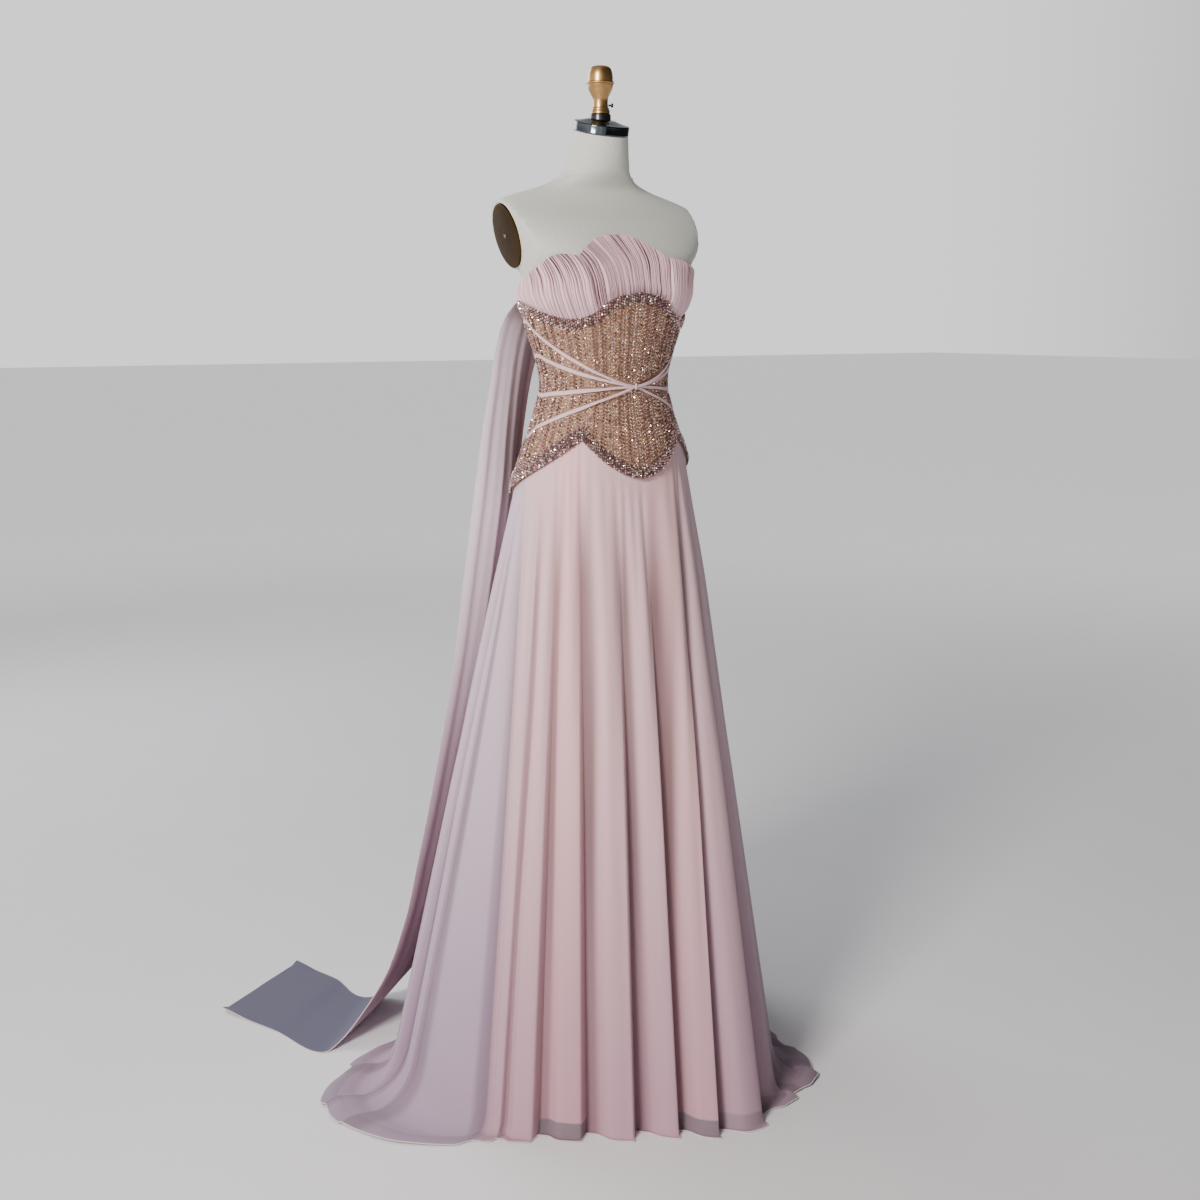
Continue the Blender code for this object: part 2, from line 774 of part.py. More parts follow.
def trim_bottom_height(angle):
    """The lower trim is wider at the sides and back than on the centre scallop."""
    share = smooth_step(TRIM_WIDENS_FROM, TRIM_WIDENS_TO, np.abs(angle))
    return TRIM_BOTTOM_FRONT + (TRIM_BOTTOM_SIDE - TRIM_BOTTOM_FRONT) * share


def make_trims(material, parent):
    """The two beaded bands, each an open ring that ends beside the zip."""
    angles = panel_angles(-180, 180, BODICE_STEP, TRIM_SIDE_TURN)
    upper = top_edge(angles)
    lower = lower_edge(angles)
    bands = (
        ("trim_top", np.array([upper, upper - TRIM_TOP_HEIGHT])),
        ("trim_bottom", np.array([lower + trim_bottom_height(angles), lower - SEAM])),
    )
    for name, heights in bands:
        outer = body_points(angles, heights, TRIM_OUTSIDE)
        inner = body_points(angles, heights, TRIM_INSIDE)
        make_wall(name, outer, inner, material, parent)


def make_shell(shell, material, parent):
    """A pleated shell: each pleat is a leaning ridge raised in the outer points only."""
    steps = shell.pleats * len(PLEAT_SHAPE)
    angles = np.linspace(shell.start, shell.end, steps + 1)
    angles[0] += SEAM_TURN
    angles[-1] -= SEAM_TURN
    top = read_table(shell.neckline, "angle", "height", angles)
    bottom = top_edge(angles) - CORSET_UNDER_TRIM + SHELL_CLEAR
    above_trim = top_edge(angles) + SHELL_CLEAR
    share = np.array(SHELL_ROWS)[:, None]
    heights = np.vstack([bottom, above_trim + (top - above_trim) * share])
    rise = np.concatenate([[[0.0]], share])
    leaning = angles - SHELL_LEAN * rise
    relief = np.resize(PLEAT_SHAPE, steps + 1)
    relief[-1] = PLEAT_SHAPE[0]
    grown = PLEAT_RELIEF * relief * smooth_step(0.0, SHELL_ROWS[1], rise)
    inside = CORSET_INSIDE + SHELL_LIFT * rise**2
    inner = body_points(leaning, heights, inside)
    outer = body_points(leaning, heights, inside + CLOTH + grown)
    make_wall(shell.name, outer, inner, material, parent)


def strap_wall(name, angles, heights, layer, material, parent):
    """A flat strap along a line of heights, lifted by its layer where straps cross."""
    crossing = 1 - smooth_step(STRAP_STACK_ANGLE, STRAP_FLAT_ANGLE, np.abs(angles))
    inside = STRAP_INSIDE + STRAP_PITCH * layer * crossing
    half = STRAP_WIDTH / 2 * (1 - STRAP_NARROWING * crossing)
    edges = np.array([heights + half, heights - half])
    outer = body_points(angles, edges, inside + STRAP_THICK)
    inner = body_points(angles, edges, inside)
    make_wall(name, outer, inner, material, parent)


def make_straps(material, parent):
    """Four straps cross the front at one point; four more on each side reach the zip."""
    angles = panel_angles(-STRAP_SIDE, STRAP_SIDE, STRAP_STEP)
    for number, right in enumerate(STRAP_ENDS):
        left = STRAP_ENDS[len(STRAP_ENDS) - 1 - number]
        reach = np.abs(angles) / STRAP_SIDE
        to_right = (right.side_height - CROSSING_HEIGHT) * reach**right.bend
        to_left = (left.side_height - CROSSING_HEIGHT) * reach**left.bend
        line = CROSSING_HEIGHT + np.where(angles < 0, to_right, to_left)
        name = f"strap_front_{number + 1}"
        strap_wall(name, angles, line, number, material, parent)
    halves = (("right", -180, -90), ("left", 90, 180))
    for side, start, end in halves:
        angles = back_angles(start, end, STRAP_STEP, ZIP_SIDE_TURN)
        reach = (180 - np.abs(angles)) / (180 - STRAP_SIDE)
        fullest = STRAP_BULGE_POWER / (STRAP_BULGE_POWER + 1)
        bulge = (1 - reach) * reach**STRAP_BULGE_POWER
        bulge = bulge / ((1 - fullest) * fullest**STRAP_BULGE_POWER)
        for number, strap in enumerate(STRAP_ENDS):
            rise = strap.side_height - strap.back_height
            line = strap.back_height + rise * reach**STRAP_BACK_BEND
            line = line + strap.behind_side * bulge
            name = f"strap_back_{side}_{number + 1}"
            strap_wall(name, angles, line, 0, material, parent)


def make_zip(tape, metal, parent):
    """The concealed zip between the half backs, its slider, and the pull tab on its hinge."""
    heights = np.linspace(ZIP_TOP, ZIP_BOTTOM, ZIP_ROWS + 1)[:, None]
    across = np.array([ZIP_WIDTH / 2, -ZIP_WIDTH / 2])
    middle = body_points(180.0, heights, CORSET_INSIDE)
    inner = np.repeat(middle, 2, axis=1)
    inner[:, :, 0] = across
    outer = inner + np.array([0.0, CORSET_OUTSIDE - CORSET_INSIDE, 0.0])
    make_wall("zip_tape", outer, inner, tape, parent)

    top = SLIDER_CENTRE + SLIDER_HEIGHT / 2
    face = body_points(180.0, top, CORSET_OUTSIDE)[1] + SEAM
    width = SLIDER_WIDTH / 2
    narrow = width * SLIDER_FACE
    front = face + SLIDER_DEPTH
    outline = np.array([(-width, face), (width, face), (narrow, front), (-narrow, front)])
    rings = [
        np.column_stack([outline, np.full(4, level)])
        for level in (top - SLIDER_HEIGHT, top)
    ]
    make_loft("zip_slider", np.array(rings), metal, parent)

    hinge_y = face + SLIDER_DEPTH + PULL_CLEAR + PULL_THICK / 2
    hinge = bpy.data.objects.new("zip_pull_hinge", None)
    hinge.location = (0.0, hinge_y, SLIDER_CENTRE)
    bpy.context.scene.collection.objects.link(hinge)
    hinge.parent = parent
    length = PULL_LENGTH + PULL_ABOVE_HINGE
    edge = [
        (PULL_WIDTH / 2 * across, PULL_ABOVE_HINGE - length * down)
        for across, down in PULL_SHAPE
    ]
    outline = edge + [(-x, z) for x, z in reversed(edge)]
    rings = [
        np.array([(x, y, z) for x, z in outline])
        for y in (-PULL_THICK / 2, PULL_THICK / 2)
    ]
    make_loft("zip_pull", np.array(rings), metal, hinge)


# ---------------------------------------------------------------------------------------------
# Skirt and streamer
# ---------------------------------------------------------------------------------------------


def fold_columns(start, end):
    """Top angle, hem angle and ridge height of every column from one seam to the next."""
    following = list(FOLDS[1:]) + [Fold(top=180, hem=180, depth=0.0)]
    columns = []
    for fold, beyond in zip(FOLDS, following):
        if not start <= fold.hem < end:
            continue
        for fraction in FOLD_FRACTIONS:
            top = fold.top + (beyond.top - fold.top) * fraction
            hem = fold.hem + (beyond.hem - fold.hem) * fraction
            ridge = fold.depth * math.sin(math.pi * fraction) ** FOLD_ROUNDNESS
            columns.append((top, hem, ridge))
    columns.append((end, end, 0.0))
    top, hem, ridges = np.array(columns).T
    for angles in (top, hem):
        angles[0] += SEAM_TURN
        angles[-1] -= SEAM_TURN
    return top, hem, ridges


def skirt_lining(top_angles, hem_angles, ridges):
    """The skirt's inner surface: a leaning wall, a bend, and the cloth lying on the floor."""
    edge = lower_edge(top_angles)
    tucked = body_points(top_angles, edge + SKIRT_UNDER_CORSET, SKIRT_LINING)
    top = body_points(top_angles, edge - SKIRT_BELOW_CORSET, SKIRT_LINING)
    foot_radius = read_table(HEM, "angle", "foot", hem_angles)
    hem_radius = read_table(HEM, "angle", "hem", hem_angles)
    spread = hem_radius - foot_radius
    foot = polar(hem_angles, foot_radius, 0.0)
    landing = polar(hem_angles, foot_radius + LANDING_SHARE * spread, 0.0)
    hem = polar(hem_angles, hem_radius, 0.0)
    bend_height = BEND_LOWEST + BEND_SHARE * spread
    bend_share = (1 - bend_height / top[:, 2])[:, None]
    bend = top + (foot - top) * bend_share
    rows = [tucked]
    rows += [top + (bend - top) * share for share in WALL_ROWS]
    for t in BEND_ROWS:
        rows.append(bend * (1 - t) ** 2 + foot * 2 * t * (1 - t) + landing * t * t)
    rows.append(hem)
    grid = np.array(rows)
    fallen = np.clip(1 - grid[:, :, 2] / top[:, 2], 0.0, 1.0)
    growth = (fallen**FOLD_GROWTH * ridges)[:, :, None]
    level = grid[:, :, :2]
    grid[:, :, :2] += level / np.linalg.norm(level, axis=-1, keepdims=True) * growth
    lying = np.clip(spread / RIPPLE_SPREAD, 0.0, 1.0)
    waves = lying * ridges / max(fold.depth for fold in FOLDS)
    grid[-2, :, 2] += HEM_RIPPLE * waves
    grid[-1, :, 2] += HEM_EDGE_RIPPLE * waves
    return grid


def make_skirt(material, parent):
    """The skirt's three panels, each with its soft folds and two square-cut seams."""
    for name, start, end in SKIRT_PANELS:
        top_angles, hem_angles, ridges = fold_columns(start, end)
        inner = skirt_lining(top_angles, hem_angles, ridges)
        outward = -normals_of(inner)
        for seam in (0, -1):
            around = polar(hem_angles[seam] + 90.0, 1.0, 0.0)
            outward[:, seam] -= (outward[:, seam] @ around)[:, None] * around
        outward /= np.linalg.norm(outward, axis=-1, keepdims=True)
        make_wall(name, inner + CLOTH * outward, inner, material, parent)


def make_streamer(material, parent):
    """The streamer: gathered at the top, folded lengthwise, and opened out on the floor."""
    share = np.linspace(0.0, 1.0, STREAMER_COLUMNS + 1)
    top_angles = np.interp(share, (0.0, 1.0), STREAMER_TOP_ANGLES)
    rows = [body_points(top_angles, STREAMER_TOP_HEIGHT, STREAMER_TOP_OUT)]
    waves = np.sin(2 * math.pi * STREAMER_FOLDS * share)
    edges = np.sqrt(np.sin(math.pi * share))
    for level in STREAMER:
        outer = polar(level.outer_angle, level.outer_radius, level.height)
        inner = polar(level.inner_angle, level.inner_radius, level.height)
        along = inner - outer
        square = np.array([along[1], -along[0], 0.0]) / np.linalg.norm(along)
        line = outer + along * share[:, None]
        line = line + square * (level.fold_depth * waves * edges)[:, None]
        if level.height < FLOOR_RIPPLE:
            line[:, 2] += FLOOR_RIPPLE * np.abs(waves) * edges
        rows.append(line)
    under = np.array(rows)
    over = under + CLOTH * normals_of(under)
    make_wall("streamer", over, under, material, parent)


# ---------------------------------------------------------------------------------------------
# The whole part
# ---------------------------------------------------------------------------------------------


def main():
    """Build the dress form, its stand and the gown."""
    clear_scene()
    part = bpy.data.objects.new("gown_on_form", None)
    bpy.context.scene.collection.objects.link(part)

    linen = make_material("cream linen", (0.55, 0.53, 0.47), 0.85)
    chrome = make_material("dark chrome", (0.32, 0.31, 0.33), 0.15, 1.0)
    bronze = make_material("aged bronze", (0.17, 0.11, 0.05), 0.4, 1.0)
    black = make_material("black enamel", (0.02, 0.02, 0.02), 0.35)
    gilt = make_material("gilt wood", (0.55, 0.36, 0.14), 0.4)
    chiffon = make_material("blush chiffon", (0.62, 0.47, 0.45), 0.75)
    net = make_material("beaded net", (0.45, 0.33, 0.27), 0.6)
    beading = make_material("mauve beading", (0.25, 0.16, 0.15), 0.35)

    make_torso(linen, part)
    make_cap(chrome, part)
    make_socket(black, part)
    make_finial(gilt, black, part)
    make_arm_plates(bronze, part)
    make_stand(black, part)

    make_corset(net, part)
    make_trims(beading, part)
    for shell in SHELLS:
        make_shell(shell, chiffon, part)
    make_straps(chiffon, part)
    make_zip(net, chrome, part)
    make_skirt(chiffon, part)
    make_streamer(chiffon, part)


main()
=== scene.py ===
"""Looks of an a-line evening gown on a limbless dress form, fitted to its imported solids.

Metres, +Z up, in the frame of the solids. The gown faces -Y and its wearer's right side is at -X.
An angle round the body is in degrees from the front towards the wearer's left side: 90 is the
left side, 180 the back and -90 the right side.
"""

import json
import logging
import math
from dataclasses import dataclass
from enum import Enum
from typing import Any, NamedTuple, Optional, Sequence

import bmesh
import bpy
import numpy as np
from bpy.types import Material, Node, NodeSocket, NodeTree, Object
from mathutils import Matrix, Vector

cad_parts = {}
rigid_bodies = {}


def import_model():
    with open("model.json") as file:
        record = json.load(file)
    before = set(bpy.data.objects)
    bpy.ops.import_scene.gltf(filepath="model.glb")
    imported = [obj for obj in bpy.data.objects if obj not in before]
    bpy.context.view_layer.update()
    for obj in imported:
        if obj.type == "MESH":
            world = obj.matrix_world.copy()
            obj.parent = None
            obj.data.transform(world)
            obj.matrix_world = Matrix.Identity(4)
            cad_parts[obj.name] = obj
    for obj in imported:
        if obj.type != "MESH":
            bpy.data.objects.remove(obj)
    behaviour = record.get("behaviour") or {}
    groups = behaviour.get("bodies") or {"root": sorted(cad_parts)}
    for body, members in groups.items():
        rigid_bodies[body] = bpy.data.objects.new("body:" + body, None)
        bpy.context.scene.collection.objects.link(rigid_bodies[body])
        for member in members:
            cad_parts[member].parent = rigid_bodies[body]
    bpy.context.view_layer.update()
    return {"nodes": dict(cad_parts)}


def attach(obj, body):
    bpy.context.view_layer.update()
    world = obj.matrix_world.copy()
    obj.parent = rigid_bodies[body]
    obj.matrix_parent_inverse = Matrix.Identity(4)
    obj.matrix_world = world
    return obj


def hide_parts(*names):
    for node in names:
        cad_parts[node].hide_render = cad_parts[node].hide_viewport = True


Array = np.ndarray
LOG = logging.getLogger("gown")
ROOT = "root"
# Degrees between the columns of a bodice panel.
PANEL_STEP = 1.5
# Degrees by which a panel is drawn in at a side seam.
SEAM_TURN = 0.08


# --------------------------------------
# Curves, meshes and nodes
# --------------------------------------


def smooth_through(places: Sequence[float], values: Sequence[float], at: Array) -> Array:
    """Read a smooth curve through (place, value) pairs.

    Args:
        places: Rising places of the known values.
        values: The known values.
        at: Where to read the curve. Beyond its ends the curve is level.

    Returns:
        The curve's values, in the shape of at.
    """
    known = np.asarray(places, float)
    height = np.asarray(values, float)
    slopes = np.gradient(height, known)
    at = np.clip(at, known[0], known[-1])
    span = np.clip(np.searchsorted(known, at, side="right") - 1, 0, len(known) - 2)
    length = known[span + 1] - known[span]
    t = (at - known[span]) / length
    rise = t * t * (3 - 2 * t)
    leaving = t * (1 - t) * (1 - t) * slopes[span] * length
    arriving = t * t * (1 - t) * slopes[span + 1] * length
    return height[span] * (1 - rise) + height[span + 1] * rise + leaving - arriving


def read_column(rows: Sequence[Sequence[float]], column: int, at: Array) -> Array:
    """Read one column of a table over its first column.

    Args:
        rows: The table, with rising first values.
        column: Which value of each row to read.
        at: Where to read it.

    Returns:
        The values there.
    """
    return smooth_through([row[0] for row in rows], [row[column] for row in rows], at)


def smooth_step(low: float, high: float, at: Array) -> Array:
    """Rise smoothly from 0 at low to 1 at high."""
    t = np.clip((at - low) / (high - low), 0.0, 1.0)
    return t * t * (3 - 2 * t)


def uneven(at: Array, seed: float) -> Array:
    """A smooth irregular wave between about -1 and 1, the same on every run.

    Args:
        at: Places along it. It changes over a distance of about 1.
        seed: A number that picks one wave of many.

    Returns:
        The wave's height at each place.
    """
    slow = np.sin(1.31 * at + 2.7 * seed) + 0.7 * np.sin(2.17 * at + 5.1 * seed + 1.0)
    quick = 0.45 * np.sin(3.73 * at + 1.9 * seed + 2.0) + 0.3 * np.sin(6.1 * at + 3.3 * seed)
    return (slow + quick) / 2.1


def polar(angle: Array, radius: Array, height: Array) -> Array:
    """Points at these angles from the front and distances from the axis."""
    angle, radius, height = np.broadcast_arrays(angle, radius, height)
    turn = np.radians(angle)
    return np.stack([radius * np.sin(turn), -radius * np.cos(turn), height], axis=-1)


def normals_of(grid: Array) -> Array:
    """Unit normals of a grid of points, outwards where rows fall and columns turn leftwards."""
    along = np.gradient(grid, axis=0)
    across = np.gradient(grid, axis=1)
    normal = np.cross(along, across)
    return normal / np.maximum(np.linalg.norm(normal, axis=-1, keepdims=True), 1e-12)


def run_lengths(grid: Array, axis: int) -> Array:
    """Distance of every grid point from the grid's first row or column, along the cloth."""
    steps = np.linalg.norm(np.diff(grid, axis=axis), axis=-1)
    start = np.zeros_like(np.take(steps, [0], axis=axis))
    return np.concatenate([start, np.cumsum(steps, axis=axis)], axis=axis)


def linear(code: str) -> tuple[float, float, float, float]:
    """Turn an sRGB hex colour into a linear one with full alpha."""
    values = [int(code[k : k + 2], 16) / 255 for k in (1, 3, 5)]
    red, green, blue = (
        value / 12.92 if value <= 0.04045 else ((value + 0.055) / 1.055) ** 2.4 for value in values)
    return red, green, blue, 1.0


def connect(node: Node, sockets: dict[Any, Any]) -> None:
    """Set or link a node's inputs.

    Args:
        node: The node.
        sockets: Inputs by name or number, each with a value, with an output to link, or with a
            node whose first output in use is linked.
    """
    for name, value in sockets.items():
        if isinstance(value, Node):
            value = next(output for output in value.outputs if output.enabled)
        if isinstance(value, NodeSocket):
            node.id_data.links.new(value, node.inputs[name])
        else:
            node.inputs[name].default_value = value


def add_node(
    tree: NodeTree, kind: str, sockets: Optional[dict[Any, Any]] = None, **settings: Any
) -> Node:
    """Add a node with its settings, values and links.

    Args:
        tree: The node tree.
        kind: Blender's name for the node, where ShaderNode may be left out.
        sockets: Its inputs, as connect takes them.
        settings: The node's own properties.

    Returns:
        The node.
    """
    node = tree.nodes.new(kind if "Node" in kind else f"ShaderNode{kind}")
    for name, value in settings.items():
        setattr(node, name, value)
    connect(node, sockets or {})
    return node


def put(name: str, data: Any) -> Object:
    """Add an object with this data to the scene."""
    made = bpy.data.objects.new(name, data)
    bpy.context.scene.collection.objects.link(made)
    return made


def new_object(
    name: str, points: Array, faces: Sequence[Sequence[int]], materials: Sequence[Material],
    smooth_angle: float = 50.0
) -> Object:
    """Make a closed object with outward faces from points and faces.

    Args:
        name: The piece's name.
        points: Its points.
        faces: Its faces, as point numbers.
        materials: Its materials, in slot order.
        smooth_angle: Edges sharper than this, in degrees, stay crisp.

    Returns:
        The object.
    """
    mesh = bpy.data.meshes.new(name)
    mesh.from_pydata(points.tolist(), [], faces)
    shape = bmesh.new()
    shape.from_mesh(mesh)
    bmesh.ops.recalc_face_normals(shape, faces=shape.faces)
    shape.to_mesh(mesh)
    shape.free()
    mesh.shade_smooth()
    mesh.set_sharp_from_angle(angle=math.radians(smooth_angle))
    for material in materials:
        mesh.materials.append(material)
    return put(name, mesh)


def set_point_values(made: Object, name: str, values: Array) -> None:
    """Store one number for each point of a mesh, for its material to read."""
    attribute = made.data.attributes.new(name, "FLOAT", "POINT")
    attribute.data.foreach_set("value", np.asarray(values, np.float32).ravel())


def set_uv(made: Object, places: Array) -> None:
    """Give a mesh a UV map from one place, in metres of cloth, for each point."""
    layer = made.data.uv_layers.new(name="cloth")
    corners = np.empty(len(made.data.loops), np.int32)
    made.data.loops.foreach_get("vertex_index", corners)
    layer.data.foreach_set("uv", np.asarray(places, np.float32)[corners].ravel())


def cloth_wall(
    name: str, outer: Array, inner: Array, materials: Sequence[Material],
    values: Optional[dict[str, Array]] = None, places: Optional[Array] = None
) -> Object:
    """Make a closed thin wall between two grids of points.

    Args:
        name: The piece's name.
        outer: The outer face's points, as rows and columns.
        inner: The inner face's points, as many as the outer's.
        materials: The outer face's material, and the inner's if it has its own.
        values: Numbers for the points of one face, by attribute name.
        places: Where each point lies on the flat cloth, if not measured from the grid.

    Returns:
        The object, with a UV map in metres of cloth.
    """
    rows, columns = outer.shape[:2]
    index = np.arange(rows * columns).reshape(rows, columns)
    quads = np.stack([index[:-1, :-1], index[:-1, 1:], index[1:, 1:], index[1:, :-1]], axis=-1)
    quads = quads.reshape(-1, 4)
    rim = np.concatenate([index[0], index[1:, -1], index[-1, -2::-1], index[-2:0:-1, 0]])
    beyond = np.roll(rim, -1)
    inside = rows * columns
    sides = np.stack([rim, rim + inside, beyond + inside, beyond], axis=-1)
    faces = np.concatenate([quads, quads[:, ::-1] + inside, sides])
    points = np.concatenate([outer.reshape(-1, 3), inner.reshape(-1, 3)])
    made = new_object(name, points, faces.tolist(), materials)
    if len(materials) > 1:
        slots = np.zeros(len(faces), np.int32)
        slots[len(quads) : 2 * len(quads)] = 1
        made.data.polygons.foreach_set("material_index", slots)
    if places is None:
        places = np.stack([run_lengths(outer, 1), run_lengths(outer, 0)], axis=-1)
    flat = places.reshape(-1, 2)
    set_uv(made, np.concatenate([flat, flat]))
    for attribute, numbers in (values or {}).items():
        set_point_values(made, attribute, np.tile(numbers.ravel(), 2))
    return made


def closed_loft(
    name: str, rings: Array, materials: Sequence[Material], smooth_angle: float = 35.0
) -> Object:
    """Make a closed solid through rings of equal length, with a flat face on each end."""
    count, sides = rings.shape[:2]
    index = np.arange(count * sides).reshape(count, sides)
    after = np.roll(index, -1, axis=1)
    quads = np.stack([index[:-1], after[:-1], after[1:], index[1:]], axis=-1).reshape(-1, 4)
    faces = quads.tolist() + [index[0].tolist(), index[-1].tolist()]
    return new_object(name, rings.reshape(-1, 3), faces, materials, smooth_angle)


def tube_along(
    name: str, line: Array, radius: float, sides: int, materials: Sequence[Material], ring: bool = False
) -> Object:
    """Make a closed round tube along a line of points.

    Args:
        name: The piece's name.
        line: The points of its middle.
        radius: Its radius.
        sides: How many sides it has.
        materials: Its materials.
        ring: Whether the line's end joins its start.

    Returns:
        The object, at one place of its cloth and with its fold fully out.
    """
    if ring:
        along = np.roll(line, -1, axis=0) - np.roll(line, 1, axis=0)
    else:
        along = np.gradient(line, axis=0)
    along = along / np.linalg.norm(along, axis=-1, keepdims=True)
    up = np.where(np.abs(along[:, 2:]) > 0.9, [[1.0, 0.0, 0.0]], [[0.0, 0.0, 1.0]])
    beside = np.cross(along, up)
    beside = beside / np.linalg.norm(beside, axis=-1, keepdims=True)
    above = np.cross(beside, along)
    turns = np.arange(sides) * 2 * math.pi / sides
    circle = np.cos(turns)[:, None] * beside[:, None] + np.sin(turns)[:, None] * above[:, None]
    rings = line[:, None] + radius * circle
    if ring:
        index = np.arange(len(line) * sides).reshape(-1, sides)
        after = np.roll(index, -1, axis=1)
        ahead = np.roll(index, -1, axis=0)
        across = np.roll(after, -1, axis=0)
        quads = np.stack([index, after, across, ahead], axis=-1).reshape(-1, 4)
        made = new_object(name, rings.reshape(-1, 3), quads.tolist(), materials, 60.0)
    else:
        made = closed_loft(name, rings, materials, 60.0)
    count = len(made.data.vertices)
    set_uv(made, np.zeros((count, 2)))
    set_point_values(made, "fold", np.ones(count))
    return made


def turned(profile: Sequence[tuple[float, float]], sides: int, base: Sequence[float]) -> Array:
    """Rings round a vertical axis from a profile of (radius, height) pairs."""
    angles = np.arange(sides) * 360.0 / sides
    rings = [polar(angles, radius, height) for radius, height in profile]
    return np.array(rings) + np.array(base)


def dress(piece: Object, slot: str, *nodes: str, body: str = ROOT) -> Object:
    """Put a finished piece on its body and hide the nodes that it replaces.

    Args:
        piece: The piece, in place.
        slot: The record's material slot. Not used.
        nodes: The nodes that it stands for.
        body: The body that it moves with.

    Returns:
        The piece.
    """
    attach(piece, body)
    if nodes:
        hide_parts(*nodes)
    LOG.info("%s: %d faces", piece.name, len(piece.data.polygons))
    return piece


# --------------------------------------
# Finishes
# --------------------------------------


def plain_material(
    name: str, colour: str, roughness: float, **numbers: float
) -> tuple[Material, NodeTree, Node]:
    """Start a material with its colour, roughness and any other constant of its shader.

    Args:
        name: The material's common name and process.
        colour: Its sRGB hex colour.
        roughness: Its roughness.
        numbers: Other inputs of the shader, with _ for a space.

    Returns:
        The material, its node tree and its shader.
    """
    material = bpy.data.materials.new(name)
    material.use_nodes = True
    shader = material.node_tree.nodes["Principled BSDF"]
    connect(shader, {"Base Color": linear(colour), "Roughness": roughness})
    connect(shader, {key.replace("_", " "): value for key, value in numbers.items()})
    material.diffuse_color = linear(colour)
    return material, material.node_tree, shader


def crossing_threads(
    tree: NodeTree, thread_mm: float, waver: float, strength: float, depth: float
) -> Node:
    """Raise a plain weave's threads, drawn coarser than real ones, which are too fine to show.

    Args:
        tree: The material's node tree.
        thread_mm: The threads' spacing on the cloth.
        waver: How much the threads waver.
        strength: The bump's strength.
        depth: The bump's depth in metres.

    Returns:
        The bump, whose normal carries the weave.
    """
    uv = add_node(tree, "UVMap", uv_map="cloth")
    # A wave texture of scale 1 has a period of 2 pi / 20, and here one period is one thread.
    turns = 1000.0 / thread_mm * 2 * math.pi / 20.0
    across, along = (
        add_node(
            tree, "TexWave", {"Vector": uv, "Scale": turns, "Distortion": waver}, bands_direction=way)
        for way in ("X", "Y"))
    cloth = add_node(
        tree, "Math", {0: across.outputs["Fac"], 1: along.outputs["Fac"]}, operation="MULTIPLY")
    return add_node(tree, "Bump", {"Height": cloth, "Strength": strength, "Distance": depth})


